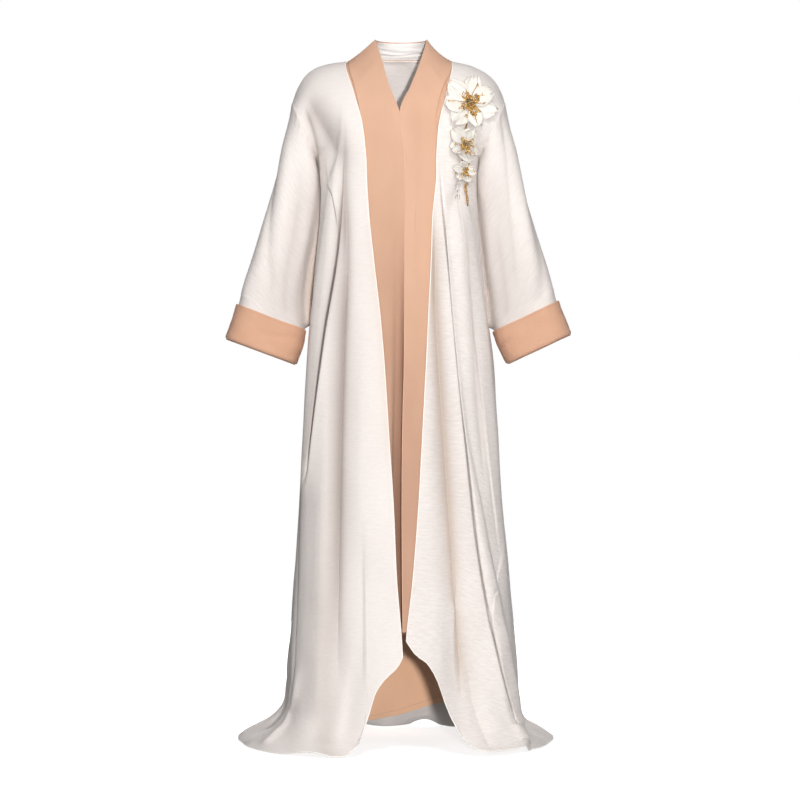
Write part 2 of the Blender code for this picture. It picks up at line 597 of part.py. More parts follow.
def inner_back_points(steps):
    """The points of the inner back, which hangs inside the back from its top edge to its hem."""
    across = np.linspace(INNER_BACK_SIDE, 1 - INNER_BACK_SIDE, steps[0] + 1)
    rows = back_rows(across)
    knots = body_knots()
    hem = hem_level(INNER_BACK_HEM, 1)
    tops = [cut_down(knots, rows[:, j], lambda x: np.full(x.shape, INNER_BACK_TOP))
            for j in range(len(across))]
    bottoms = [cut_down(knots, rows[:, j], hem) for j in range(len(across))]
    down = np.linspace(0, 1, steps[1] + 1)
    points = sheet_points(knots, rows, tops, bottoms, down)
    inset = INNER_BACK_INSET[0] + (INNER_BACK_INSET[1] - INNER_BACK_INSET[0]) * down
    return points - outward(points) * inset[:, None, None]


def inner_front_rows(side, across):
    """Rows of an inner front, from its neck edge or centre edge (0) to under the outer front (1)."""
    across = np.asarray(across, float)
    sign = SIDES[side]["sign"]
    rows = []
    for index, down in enumerate(YOKE["down"]):
        neck = np.array([YOKE["v_" + side][index], YOKE["v_y"][index], YOKE["v_z"][index]])
        if side == "right":
            neck[1] += LAP_STEP * ease(np.interp(down, LAP_FROM, (0, 1)))
        edge, handle, normal = edge_frame(side, down)
        outer = edge + handle * LAPEL["beyond_" + side][index] - normal * LAPEL["inset"][index]
        if down == 0:
            (tip_x, tip_z), (end_x, end_z) = SIDES[side]["from_tip"], SIDES[side]["to_shoulder"]
            rows.append(bezier(neck, neck + (tip_x, 0, tip_z), outer + (end_x, 0, end_z), outer,
                               across))
            continue
        reach = np.linalg.norm(outer - neck) / 3
        neck_handle = (outer - neck) / 3 - (0, LAPEL_ROLL, 0)
        rows.append(bezier(neck, neck + neck_handle, outer - handle * reach, outer, across))
    for row in range(len(BODY["height"])):
        centre = BODY["centre"][row] - (UNDER_LAP * sign if side == "right" else 0)
        beyond = np.interp(BODY["height"][row], INNER_REACH["height"], INNER_REACH["beyond"])
        start = turn_at(row, side, centre, INNER_INSET)
        end = turn_at(row, side, BODY["edge_" + side][row] + sign * beyond, INNER_INSET)
        points = ring_points(row, side, start + (end - start) * across, -1, INNER_INSET)
        if side == "right":
            points[:, 1] += LAP_STEP * ease((points[:, 0] - BODY["centre"][row]) / LAP_RISE + 1)
        rows.append(points)
    return np.array(rows)


def inner_front_points(side, steps):
    """The points of an inner front with its lapel."""
    across = np.linspace(0, 1, steps[0] + 1)
    rows = inner_front_rows(side, across)
    knots = row_knots(inner_front_rows(side, [0.5])[:, 0])
    hem = INNER_FRONT_HEM[side]
    bottoms = [cut_down(knots, rows[:, j], lambda x: np.full(x.shape, hem))
               for j in range(len(across))]
    points = sheet_points(knots, rows, np.zeros(len(across)), bottoms, inner_spacing(steps[1]))
    x, z = points[..., 0], points[..., 2]
    outer_folds = np.minimum(front_fold_height(side, x, z), 0)
    return folded(points, fold_height(INNER_FOLDS[side], x, z) + outer_folds)


def under_collar_points(side, steps):
    """The points of an under-collar: a strip inside the lapel that goes on under the outer front."""
    across = np.linspace(UNDER_COLLAR_START, 1, steps[0])
    rows = inner_front_rows(side, across)
    knots = row_knots(inner_front_rows(side, [0.5])[:, 0])
    down = np.linspace(UNDER_COLLAR_ENDS[0], UNDER_COLLAR_ENDS[1], steps[1] + 1)
    at = np.interp(down, np.append(YOKE["down"], 1), knots[:len(YOKE["down"]) + 1])
    lapel = smooth(knots, rows, at)
    inward = outward(lapel)
    points = []
    for row, share in enumerate(down):
        edge, handle, normal = edge_frame(side, share)
        under = edge + handle * UNDER_COLLAR_BEYOND
        inset = np.interp(share, LAPEL["down"], LAPEL["under"])
        depth = np.interp(share, LAPEL["down"], LAPEL["inset"])
        points.append(np.vstack([lapel[row] - inward[row] * (inset - depth), under - normal * inset]))
    return np.array(points)


# ------------------------------------------------------------------ collar
def collar_points(steps, inset, top, bottom):
    """The stand round the back of the neck, from its top edge to its seam, right to left. The
    inset moves it inwards, and top and bottom are the shares of its height where it ends."""
    turn = np.linspace(0, math.pi, steps[0] + 1)
    seam_half = (YOKE["edge_left"][0] - YOKE["edge_right"][0]) / 2 - SEAM_GAP
    points = []
    for down in np.linspace(top, bottom, steps[1] + 1):
        right, left = (inner_front_rows(side, [down, 1])[0] for side in SIDES)
        short = seam_half - (left[1, 0] - right[1, 0]) / 2
        middle_x = (left[0, 0] + right[0, 0]) / 2
        half = (left[0, 0] - right[0, 0]) / 2 + short * down**2
        depth = STAND_DEPTH + (NECKLINE_DEPTH - STAND_DEPTH) * down**STAND_BEND
        side_z = right[0, 2] + (left[0, 2] - right[0, 2]) * (1 - np.cos(turn)) / 2
        seam_z = SHOULDER_Z + NECKLINE_RISE + COLLAR_CLEAR
        back_z = STAND_HEIGHT + (seam_z - STAND_HEIGHT) * down
        x = middle_x - half * np.cos(turn)
        y = depth * np.sin(turn) + TILTED_SEAM + COLLAR_CLEAR * (1 - np.sin(turn))
        z = side_z + (back_z - side_z) * np.sin(turn)**2
        points.append(np.stack([x, y, z], axis=-1))
    points = np.array(points)
    return points - outward(points) * inset


# ------------------------------------------------------------------ sleeves
def sleeve_point_rows(side, angles):
    """Rings of a sleeve from the armhole to the cuff's lower edge, at angles from its outer side."""
    data = SLEEVES[side]
    angles = np.asarray(angles, float)
    rows = []
    for row in range(len(data["depth"])):
        outer = np.array([data["outer_x"][row], data["middle_y"][row], data["outer_z"][row]])
        inner = np.array([data["inner_x"][row], data["middle_y"][row], data["inner_z"][row]])
        middle, half = (outer + inner) / 2, (outer - inner) / 2
        ring = middle + np.cos(angles)[:, None] * half
        ring[:, 1] += np.sin(angles) * data["depth"][row]
        if row == 0:
            away = np.array([half[2], 0, -half[0]]) / np.linalg.norm(half) * SIDES[side]["sign"]
            shift = SLEEVE_SHIFT * (1 + ARMPIT_SHIFT * (1 - np.cos(angles)) / 2)
            ring += away * shift[:, None]
        rows.append(ring)
    return np.array(rows)


def sleeve_points(side, places, steps):
    """Points of a sleeve at places down it, in rings: 0 is the armhole and the last ring the hem."""
    angles = np.arange(steps) / steps * 2 * math.pi
    rows = sleeve_point_rows(side, angles)
    return smooth(np.arange(len(rows), dtype=float), rows, places)


def tube_normals(points):
    """Normals of a tube that point away from its own middle line."""
    normal = normals(points, wrap=True)
    middle = points.mean(axis=1, keepdims=True)
    return normal if np.sum(normal * (points - middle)) > 0 else -normal


def cuff_points(side, steps):
    """A turned-back cuff: its outer layer, the fold at its lower edge, and its inner layer."""
    low = len(SLEEVES[side]["depth"]) - 1
    high = CUFF_TOP_ROW
    above, below = CUFF_TURN
    outer = [(high + (low - above - high) * t, CUFF_OFFSET + CUFF_FLARE * (1 - t))
             for t in np.linspace(0, 1, steps[1] + 1)]
    inside = -CUFF_OFFSET * CUFF_INNER
    turned = [(low + below, 0.0), (low - above, inside), (low - CUFF_RETURN, inside)]
    places, offsets = np.array(outer + turned).T
    low_ring = sleeve_points(side, np.array([low - CUFF_SLOPE_STEP, low]), steps[0])
    beyond = (low_ring[1] - low_ring[0]) / CUFF_SLOPE_STEP
    points = sleeve_points(side, np.minimum(places, low), steps[0])
    points += np.maximum(places - low, 0)[:, None, None] * beyond
    even = sleeve_points(side, np.linspace(high, low, len(places)), steps[0])
    return points + tube_normals(even) * offsets[:, None, None]


# ------------------------------------------------------------------ the spray on the left front
class FrontFinder:
    """Finds the point and normal of a front, given as a grid of points, at an x and a z."""

    def __init__(self, points):
        facing = outward(points)
        self.corners, self.normals = [], []
        for made, kept in ((points, self.corners), (facing, self.normals)):
            a, b, c, d = made[:-1, :-1], made[:-1, 1:], made[1:, 1:], made[1:, :-1]
            kept.extend(np.stack(three, axis=-2).reshape(-1, 3, 3) for three in ((a, b, c), (a, c, d)))
        self.corners = np.concatenate(self.corners)
        self.normals = np.concatenate(self.normals)

    def at(self, x, z):
        """Points and normals at the arrays x and z."""
        first = self.corners[:, 0]
        u, v = self.corners[:, 1] - first, self.corners[:, 2] - first
        area = u[:, 0] * v[:, 2] - u[:, 2] * v[:, 0]
        area = np.where(np.abs(area) < 1e-9, 1e-9, area)
        found, facing = np.empty(x.shape + (3,)), np.empty(x.shape + (3,))
        for place in np.ndindex(x.shape):
            dx, dz = x[place] - first[:, 0], z[place] - first[:, 2]
            second = (dx * v[:, 2] - dz * v[:, 0]) / area
            third = (dz * u[:, 0] - dx * u[:, 2]) / area
            best = np.argmax(np.minimum(np.minimum(second, third), 1 - second - third))
            share = np.array([1 - second[best] - third[best], second[best], third[best]])
            found[place] = share @ self.corners[best]
            facing[place] = share @ self.normals[best]
            facing[place] /= np.linalg.norm(facing[place])
        return found, facing


def leaf_points(finder, foot, turn, length, width, base, lift, steps):
    """A petal-shaped sheet over the front, moved out by base at its foot and lift more at its tip."""
    along = np.linspace(0, 1, steps[1] + 1)[:, None]
    over = np.linspace(-1, 1, steps[0] + 1)[None, :]
    half = width / 2 * np.sin(math.pi * (PETAL_SHAPE[0] + PETAL_SHAPE[1] * along))
    x = foot[0] + along * length * math.sin(turn) + over * half * math.cos(turn)
    z = foot[1] + along * length * math.cos(turn) - over * half * math.sin(turn)
    ground, facing = finder.at(x, z)
    height = base + lift * along**PETAL_CURVE + PETAL_CUP * over**2 * along
    return ground + facing * height[..., None]


def petal_points(finder, blossom, number, steps):
    """One petal of a blossom's ring. Every second one lies over its neighbours."""
    turn = math.radians(blossom["turn"] + PETAL_SWAY * math.sin(1.7 * number + blossom["x"] * 50))
    turn += number * 2 * math.pi / blossom["petals"]
    length = blossom["length"] * (1 + PETAL_VARIETY * math.sin(3.1 * number + 1))
    start = PETAL_START * length
    foot = (blossom["x"] + start * math.sin(turn), blossom["z"] + start * math.cos(turn))
    layer = 2 if number == blossom["petals"] - 1 else number % 2
    base = PETAL_FOOT_LIFT + PETAL_LAYER * layer
    return leaf_points(finder, foot, turn, length, blossom["width"], base, blossom["lift"], steps)


# ------------------------------------------------------------------ objects
def clear_scene():
    for obj in list(bpy.data.objects):
        bpy.data.objects.remove(obj, do_unlink=True)


def make_material(name, colour, roughness, metallic=0.0):
    material = bpy.data.materials.new(name)
    material.use_nodes = True
    shader = material.node_tree.nodes["Principled BSDF"]
    shader.inputs["Base Color"].default_value = colour
    shader.inputs["Roughness"].default_value = roughness
    shader.inputs["Metallic"].default_value = metallic
    return material


def make_sheet(name, points, wall, colour, roughness=0.9, metallic=0.0, wrap=False):
    """One piece: its grid of points as an open sheet, and a Solidify wall centred on it."""
    down, across = points.shape[:2]
    last = across if wrap else across - 1
    faces = [(r * across + c, r * across + (c + 1) % across,
              (r + 1) * across + (c + 1) % across, (r + 1) * across + c)
             for r in range(down - 1) for c in range(last)]
    mesh = bpy.data.meshes.new(name)
    mesh.from_pydata([tuple(p) for p in points.reshape(-1, 3)], [], faces)
    mesh.shade_smooth()
    mesh.materials.append(make_material(name, colour, roughness, metallic))
    obj = bpy.data.objects.new(name, mesh)
    cloak.objects.link(obj)
    solid = obj.modifiers.new("wall", "SOLIDIFY")
    solid.thickness = wall
    solid.offset = 0.0
    return obj


clear_scene()
cloak = bpy.data.collections.new("abaya_cloak")
bpy.context.scene.collection.children.link(cloak)

for wearer_side in SIDES:
    make_sheet("front_" + wearer_side, front_points(wearer_side, FRONT_STEPS), IVORY_WALL, IVORY)
    make_sheet("inner_front_" + wearer_side, inner_front_points(wearer_side, INNER_FRONT_STEPS),
               PEACH_WALL, PEACH)
    make_sheet("under_collar_" + wearer_side, under_collar_points(wearer_side, UNDER_COLLAR_STEPS),
               PEACH_WALL, PEACH)
    sleeve_end = len(SLEEVES[wearer_side]["depth"]) - 1 - SLEEVE_SHORT
    sleeve = sleeve_points(wearer_side, np.linspace(0, sleeve_end, SLEEVE_STEPS[1] + 1),
                           SLEEVE_STEPS[0])
    make_sheet("sleeve_" + wearer_side, sleeve, IVORY_WALL, IVORY, wrap=True)
    make_sheet("cuff_" + wearer_side, cuff_points(wearer_side, CUFF_STEPS), PEACH_WALL, PEACH,
               wrap=True)
make_sheet("back", back_points(BACK_STEPS), IVORY_WALL, IVORY)
make_sheet("inner_back", inner_back_points(INNER_BACK_STEPS), PEACH_WALL, PEACH)
make_sheet("collar_back", collar_points(COLLAR_STEPS, 0.0, 0.0, 1.0), PEACH_WALL, PEACH)
make_sheet("collar_facing", collar_points(FACING_STEPS, FACING_INSET, *FACING_ENDS), PEACH_WALL,
           IVORY)

left_front = FrontFinder(front_points("left", FRONT_STEPS))
for number, letter in enumerate("abc"):
    blossom = {name: values[number] for name, values in BLOSSOMS.items()}
    for petal in range(int(blossom["petals"])):
        make_sheet("petal_%s%d" % (letter, petal + 1),
                   petal_points(left_front, blossom, petal, PETAL_STEPS), PETAL_WALL, PETAL_WHITE)
for name, x, z, turn, length, width, height, colour in BEADING:
    beads = leaf_points(left_front, (x, z), math.radians(turn), length, width, height, 0,
                        PETAL_STEPS)
    make_sheet(name, beads, BEAD_WALL, colour, roughness=0.3, metallic=1.0)
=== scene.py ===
"""Looks of the open floor-length abaya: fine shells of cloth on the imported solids' form.

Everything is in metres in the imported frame: +Z up, the garment faces -Y and the origin is the base
of the neck. The sizes, tables and curve functions below are the ones that the solids were made
from. The fine sheets add creases, rolled edges, stitching, beads and the weave.
"""
import math

import bmesh
import bpy
import numpy as np
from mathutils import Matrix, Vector
from mathutils.bvhtree import BVHTree


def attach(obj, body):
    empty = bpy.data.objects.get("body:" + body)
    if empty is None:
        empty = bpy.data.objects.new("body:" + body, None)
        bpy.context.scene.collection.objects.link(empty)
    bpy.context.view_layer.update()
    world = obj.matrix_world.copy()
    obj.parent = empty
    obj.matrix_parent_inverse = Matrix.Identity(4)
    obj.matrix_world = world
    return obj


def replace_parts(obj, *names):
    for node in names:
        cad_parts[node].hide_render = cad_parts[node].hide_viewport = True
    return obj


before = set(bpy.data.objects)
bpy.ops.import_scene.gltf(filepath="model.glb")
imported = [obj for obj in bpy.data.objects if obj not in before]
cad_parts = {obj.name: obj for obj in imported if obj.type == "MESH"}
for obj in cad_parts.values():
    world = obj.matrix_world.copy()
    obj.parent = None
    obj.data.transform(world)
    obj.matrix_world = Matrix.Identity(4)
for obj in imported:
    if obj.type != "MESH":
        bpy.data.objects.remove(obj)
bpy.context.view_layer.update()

# ------------------------------------------------------------------ driving sizes, in metres
CARRY_HEIGHT = 1.42        # base of the neck above the floor
IVORY_WALL = 0.0015        # outer cloth
PEACH_WALL = 0.0012        # inner cloth and cuffs
PETAL_WALL = 0.0010        # cloth petals of the spray
SEAM_GAP = 0.0003          # left between two pieces that are sewn to each other
TILTED_SEAM = 0.0006       # half of the gap between the walls' middles where their rims are tilted
LEAST_LIFT = 0.0012        # middle of a wall that lies on the floor, above it
EDGE_FADE = 0.035          # the outer fronts' folds start this far from the free edge
SIDE_FADE = 0.030          # and end this far from the side
BACK_FADE = 0.08           # the back's folds end this share of its width from the side seams

ARMHOLE_DEPTH = 0.075      # half of the armhole's extent from front to back
NECKLINE_DEPTH = 0.0655    # the back neck seam, behind the shoulder line
NECKLINE_RISE = 0.0095     # the back neck seam, above its ends on the shoulder
CENTRE_BACK_DEPTH = 0.105  # the back at underarm height, behind the shoulder line
SHOULDER_SHARE = 5 / 9     # of the back's top edge from the armhole to its middle
BACK_HANDLE = 0.060        # how straight the back's rows run past its middle
BACK_DROP = 1.1            # its rows lie closer together towards the shoulders
YOKE_BEND = 1.25           # how squarely the outer front's free edge comes over the shoulder
STAND_BEND = 1.3           # how much more the stand leans out towards its seam
STAND_DEPTH = 0.047        # top of the collar stand at centre back
STAND_HEIGHT = 0.0487      # top of the collar stand above the base of the neck

INNER_INSET = 0.0045       # the inner fronts, inside the outer ones
UNDER_LAP = 0.022          # the right inner front goes on this far behind the left one
LAP_STEP = 0.0018          # and lies this much deeper there
LAP_RISE = 0.020           # it goes in over this width
LAP_FROM = (0.50, 0.75)    # and between these places down the yoke
LAPEL_ROLL = 0.004         # how far the lapels roll forward beside their neck edge
INNER_BACK_INSET = (0.008, 0.034)  # the inner back, inside the back, at its top and its hem
INNER_BACK_SIDE = 0.03     # how far across the back its edges stop short of the side seams
UNDER_COLLAR_START = 0.70  # how far across the lapel the under-collar starts
UNDER_COLLAR_BEYOND = 0.014  # how far it goes on under the outer front
UNDER_COLLAR_ENDS = (0.03, 0.74)  # where down the yoke it starts and ends
COLLAR_CLEAR = 0.0018      # the stand, behind the lapels' top edges and above its seam
FACING_INSET = 0.0028      # the facing, inside the stand
CUFF_OFFSET = 0.0036       # the cuff's outer layer, outside the sleeve
CUFF_FLARE = 0.0012        # how much further out its free upper edge stands
CUFF_RETURN = 0.45         # its inner layer goes back up this much of a ring
CUFF_INNER = 0.85          # and lies this share of the offset inside the sleeve
CUFF_TURN = (0.03, 0.02)   # the fold starts this much of a ring above the edge and reaches below it
CUFF_SLOPE_STEP = 0.05     # part of a ring over which the direction beyond the edge is measured
SLEEVE_SHIFT = 0.0004      # the sleeve head, clear of the armhole seam
ARMPIT_SHIFT = 1.0         # how many times more at the underarm, where two walls hang side by side
SLEEVE_SHORT = 0.12        # the sleeve's own edge, inside the cuff's fold, as a share of a ring
PETAL_CUP = 0.0015         # how much a petal's sides rise
PETAL_SHAPE = (0.13, 0.70)  # the part of a half wave that gives a petal's width from foot to tip
PETAL_CURVE = 1.4          # how late along it a petal rises

FRONT_HOLD = 6             # how narrowly a front's side is drawn onto its seam
BACK_HOLD = 10             # and the back's
MID_COLUMN = 0.6           # the place across a front that sets how its rows are spaced
MOST_SINE = 0.99           # keeps a place on a ring off its very side
TANGENT_STEP = 0.02        # down the yoke, over which the direction of an edge is measured
HEM_SEARCH = 800           # steps down a column in the search for its hem
FOLD_IN = (-0.12, 0.10)    # a fold fades in between these shares of its length
FOLD_OUT = (0.98, 1.10)    # and out between these

# Just above the floor the cloth is tucked in at the sides, in front of the flare of the back.
TUCK = {"right": 0.034, "left": 0.024}  # how deep
TUCK_HEIGHTS = (0.045, 0.170)  # where it is deepest, and where it starts, above the floor
TUCK_Y = -0.014            # its middle
TUCK_WIDTH = 0.031         # its half width along the side
TUCK_FROM = (0.15, 0.21)   # it fades in between these distances from the middle of the body

# How far down a long sheet its rows lie, closer together over the shoulder and by the floor.
ROW_SPACING = [(0.0, 0.0), (0.34, 0.17), (0.74, 0.90), (1.0, 1.0)]

LAPEL_CROWDING = 1.25      # the inner fronts' rows, closer together towards the top



def table(columns, rows):
    """A short table as one array for each named column."""
    return dict(zip(columns.split(), np.array(rows, float).T))


def each(columns):
    """The rows of a table, one after the other, each as its named values."""
    for values in zip(*columns.values()):
        yield dict(zip(columns, values))


# Rings of the body. Heights are above the floor. side_y is where the side seam lies, square says
# how full the ring's corners are (2 is an ellipse), and edge is x of the outer front's free edge.
BODY = table("height side_right side_left side_y front back square edge_right edge_left centre", [
    (1.2150, 0.1736, 0.1632, 0.000, 0.130, 0.105, 2.35, -0.0700, 0.0750, 0.0088),
    (1.1700, 0.1670, 0.1580, 0.000, 0.135, 0.107, 2.35, -0.0684, 0.0747, 0.0097),
    (1.1000, 0.1660, 0.1590, 0.000, 0.143, 0.110, 2.30, -0.0641, 0.0674, 0.0097),
    (1.0000, 0.1740, 0.1680, 0.002, 0.152, 0.116, 2.30, -0.0537, 0.0636, 0.0095),
    (0.9000, 0.1850, 0.1800, 0.004, 0.159, 0.124, 2.25, -0.0420, 0.0586, 0.0093),
    (0.8000, 0.1940, 0.1930, 0.006, 0.165, 0.134, 2.25, -0.0329, 0.0539, 0.0085),
    (0.6500, 0.2024, 0.2029, 0.010, 0.178, 0.152, 2.20, -0.0231, 0.0458, 0.0050),
    (0.5000, 0.2105, 0.2130, 0.015, 0.193, 0.173, 2.20, -0.0133, 0.0376, 0.0038),
    (0.3500, 0.2206, 0.2280, 0.022, 0.209, 0.197, 2.15, -0.0065, 0.0257, 0.0045),
    (0.2200, 0.2300, 0.2400, 0.030, 0.226, 0.222, 2.10, 0.0040, 0.0120, 0.0060),
    (0.1200, 0.2400, 0.2490, 0.038, 0.240, 0.243, 2.05, 0.0078, 0.0104, 0.0060),
    (0.0700, 0.2500, 0.2530, 0.045, 0.249, 0.255, 2.00, 0.0078, 0.0104, 0.0060),
    (0.0420, 0.2790, 0.2640, 0.055, 0.258, 0.264, 2.00, 0.0078, 0.0104, 0.0060),
    (0.0240, 0.3110, 0.2930, 0.068, 0.268, 0.273, 2.00, 0.0078, 0.0104, 0.0060),
    (0.0100, 0.3340, 0.3140, 0.080, 0.280, 0.284, 2.00, 0.0078, 0.0104, 0.0060),
    (0.0015, 0.3430, 0.3250, 0.090, 0.292, 0.296, 2.00, 0.0078, 0.0104, 0.0060),
])

# The yoke, from the shoulder seam (0) to the underarm (1): x of the outer front's edge, and the
# neck edge of the inner fronts, which the lapels leave from the collar tips to the point of the V.
YOKE = table("down edge_right edge_left v_right v_left v_y v_z", [
    (0.00, -0.1130, 0.1090, -0.0510, 0.0560, -0.0005, 0.0487),
    (0.25, -0.1122, 0.1080, -0.0374, 0.0426, -0.0420, 0.0009),
    (0.50, -0.0958, 0.0968, -0.0223, 0.0223, -0.0780, -0.0554),
    (0.75, -0.0772, 0.0798, -0.0006, -0.0006, -0.1060, -0.1121),
])

YOKE_PLACES = np.append(YOKE["down"], 1)    # with the underarm
BODY_Z = BODY["height"] - CARRY_HEIGHT      # the body's rings in the frame

# The lapels' outer edge, beside the outer front's edge (below 0) or under it (above 0), how deep it
# lies there, and how deep the under-collar lies.
LAPEL = table("down beyond_right beyond_left inset under", [
    (0.00, -0.0060, -0.0015, 0.0000, 0.0034),
    (0.25, -0.0065, -0.0015, 0.0000, 0.0036),
    (0.50, -0.0050, -0.0115, 0.0012, 0.0048),
    (0.75, 0.0040, -0.0060, 0.0042, 0.0090),
    (1.00, 0.0350, 0.0350, 0.0045, 0.0080),
])
# How far the inner fronts go on under the outer ones.
INNER_REACH = table("height beyond", [
    (0.20, 0.055), (0.50, 0.060), (1.00, 0.055), (1.17, 0.040), (1.30, 0.025),
])

# One line for each side: the armhole's top and bottom, the shoulder seam's two handles, and how the
# lapel's top edge leaves the neck and reaches the shoulder seam.
SIDES = {
    "right": dict(sign=-1, top=(-0.2249, -0.0858), bottom=(-0.1736, -0.2050),
                  near_neck=(-0.1800, -0.0015), near_arm=(-0.2090, -0.0250),
                  from_tip=(-0.0130, -0.0095), to_shoulder=(0.0280, 0.0185)),
    "left": dict(sign=1, top=(0.2186, -0.0858), bottom=(0.1632, -0.2050),
                 near_neck=(0.1650, -0.0090), near_arm=(0.2060, -0.0250),
                 from_tip=(0.0085, -0.0110), to_shoulder=(-0.0280, 0.0130)),
}
SHOULDER_Z = 0.002         # the inner end of the shoulder seam

# How a yoke row leaves the armhole, and the outer front's free edge: halfway down the yoke and at
# the underarm, with x towards the other end of the row.
ARM_HANDLES = ((0.040, 0.012, 0.030), (0.0, 0.060, 0.0))
EDGE_HANDLES = ((0.060, -0.004, -0.012), (0.055, -0.004, 0.0))

# The cut-away front corners: the hem's height above the floor at each x, outwards.
HEM_RIGHT = table("x height", [
    (-0.0120, 0.208), (-0.0090, 0.208), (-0.0010, 0.191), (0.0350, 0.150), (0.0508, 0.124),
    (0.0617, 0.088), (0.0727, 0.056), (0.0855, 0.029), (0.1015, 0.014), (0.1315, 0.004),
    (0.1600, 0.000),
])
HEM_LEFT = table("x height", [
    (0.0000, 0.240), (0.0104, 0.233), (0.0280, 0.209), (0.0608, 0.179), (0.0756, 0.152),
    (0.0948, 0.100), (0.1168, 0.050), (0.1348, 0.026), (0.1528, 0.012), (0.1767, 0.004),
    (0.2000, 0.000),
])
INNER_BACK_HEM = table("x height", [
    (-0.30, 0.040), (-0.06, 0.034), (0.00, 0.041), (0.08, 0.063), (0.30, 0.070),
])
INNER_BACK_TOP = 1.15      # top edge of the inner back, above the floor
INNER_FRONT_HEM = {"right": 0.2450, "left": 0.2480}

# The sleeves, from the armhole down: outer and inner side of each ring, its middle and half depth.
SLEEVE_COLUMNS = "outer_x outer_z inner_x inner_z"
SLEEVES = {
    "right": table(SLEEVE_COLUMNS, [
        (-0.2249, -0.0858, -0.1736, -0.2050), (-0.2437, -0.1715, -0.1726, -0.2448),
        (-0.2646, -0.2657, -0.1726, -0.2970), (-0.2877, -0.3452, -0.1799, -0.3619),
        (-0.3107, -0.4226, -0.1946, -0.4351), (-0.3253, -0.4707, -0.2020, -0.4979),
        (-0.3345, -0.5069, -0.2000, -0.5606), (-0.3588, -0.5774, -0.2185, -0.6297),
    ]),
    "left": table(SLEEVE_COLUMNS, [
        (0.2186, -0.0858, 0.1632, -0.2050), (0.2374, -0.1715, 0.1625, -0.2468),
        (0.2584, -0.2657, 0.1655, -0.2970), (0.2803, -0.3452, 0.1715, -0.3640),
        (0.3044, -0.4226, 0.1800, -0.4372), (0.3169, -0.4707, 0.1890, -0.4958),
        (0.3245, -0.5000, 0.1975, -0.5627), (0.3525, -0.5682, 0.2250, -0.6282),
    ]),
}
SLEEVE_RINGS = table("middle_y depth", [
    (0.000, 0.075), (-0.004, 0.070), (-0.010, 0.063), (-0.018, 0.059), (-0.026, 0.056),
    (-0.031, 0.055), (-0.035, 0.054), (-0.038, 0.055),
])
LAST_RING = len(SLEEVE_RINGS["depth"]) - 1    # at the cuff's lower edge
CUFF_TOP_ROW = 6           # the sleeve ring where the cuff's upper edge lies

# The largest folds, each a soft ridge (height above 0) or trough (below 0) down the cloth. x0 and
# x1 are where it starts and ends, at heights z0 and z1, and bow bends it between them. width is
# its half width at each end, and steep is how much steeper its outer flank is than its inner one.
FOLD_COLUMNS = "x0 z0 x1 z1 bow width0 width1 height0 height1 steep"
FRONT_FOLDS = {
    "right": table(FOLD_COLUMNS, [
        (-0.117, -0.16, -0.193, -0.86, -0.010, 0.020, 0.024, 0.008, 0.012, 2.5),
        (-0.112, -0.30, -0.125, -1.38, 0.010, 0.020, 0.035, -0.003, -0.016, 1.0),
        (-0.080, -0.60, -0.150, -1.41, 0.012, 0.020, 0.040, 0.002, 0.014, 1.0),
        (-0.150, -0.50, -0.190, -1.41, 0.006, 0.022, 0.035, 0.003, 0.010, 1.0),
    ]),
    "left": table(FOLD_COLUMNS, [
        (0.078, -0.20, 0.238, -1.40, -0.030, 0.022, 0.030, 0.004, 0.016, 2.5),
        (0.110, -0.20, 0.212, -1.06, 0.014, 0.020, 0.022, 0.006, 0.006, 2.5),
        (0.080, -0.62, 0.125, -1.30, -0.006, 0.020, 0.030, -0.004, -0.012, 1.0),
        (0.120, -0.80, 0.190, -1.41, 0.006, 0.022, 0.040, 0.002, 0.014, 1.0),
    ]),
}
INNER_FOLDS = {
    "right": table(FOLD_COLUMNS, [
        (-0.004, -0.36, -0.003, -1.30, 0.000, 0.010, 0.008, -0.002, -0.012, 1.0),
    ]),
    "left": table(FOLD_COLUMNS, [
        (0.050, -0.10, 0.040, -0.45, 0.000, 0.014, 0.014, -0.003, -0.002, 1.0),
    ]),
}
BACK_FOLDS = table(FOLD_COLUMNS, [
    (-0.020, -0.30, -0.030, -1.41, 0.004, 0.035, 0.045, -0.002, -0.026, 1.0),
    (0.120, -0.24, 0.130, -1.41, 0.008, 0.035, 0.045, -0.002, -0.024, 1.0),
    (-0.110, -0.22, -0.125, -1.41, -0.008, 0.035, 0.045, 0.003, 0.018, 1.0),
    (0.050, -0.30, 0.055, -1.41, 0.006, 0.035, 0.040, 0.003, 0.016, 1.0),
])

# The spray on the wearer's left chest: each blossom's middle, its ring of petals, their length and
# width, the first one's direction (degrees from straight up, towards +X), and how far they lift.
BLOSSOMS = table("x z petals length width turn lift", [
    (0.1410, -0.0970, 7, 0.042, 0.0375, 8, 0.009),
    (0.1280, -0.1800, 5, 0.027, 0.029, 30, 0.007),
    (0.1260, -0.2370, 5, 0.018, 0.019, 5, 0.005),
])
PETAL_START = 0.18         # how far from a blossom's middle its petals start, in their lengths
PETAL_VARIETY = 0.10       # how much longer or shorter they grow
PETAL_PHASES = (1.7, 3.1, 50)    # how turns and lengths vary round the ring, and turns between rings
PETAL_SWAY = 3.0           # how far they turn from an even ring, in degrees
PETAL_FOOT_LIFT = 0.0030   # a petal's foot above the cloth
PETAL_LAYER = 0.0036       # and how much higher every second one starts
# The metal beading on the same front.
BEADING = {
    "beads_upper": dict(x=0.1410, z=-0.1020, length=0.010, height=0.0115),
    "beads_middle": dict(x=0.1280, z=-0.1835, length=0.007, height=0.0118),
    "beads_lower": dict(x=0.1260, z=-0.2390, length=0.004, height=0.0113),
    "bead_stem": dict(x=0.1360, z=-0.3010, turn=-6, length=0.038, height=0.0026),
    "bead_fringe": dict(x=0.1170, z=-0.3010, length=0.038, width=0.010, height=0.0026),
}


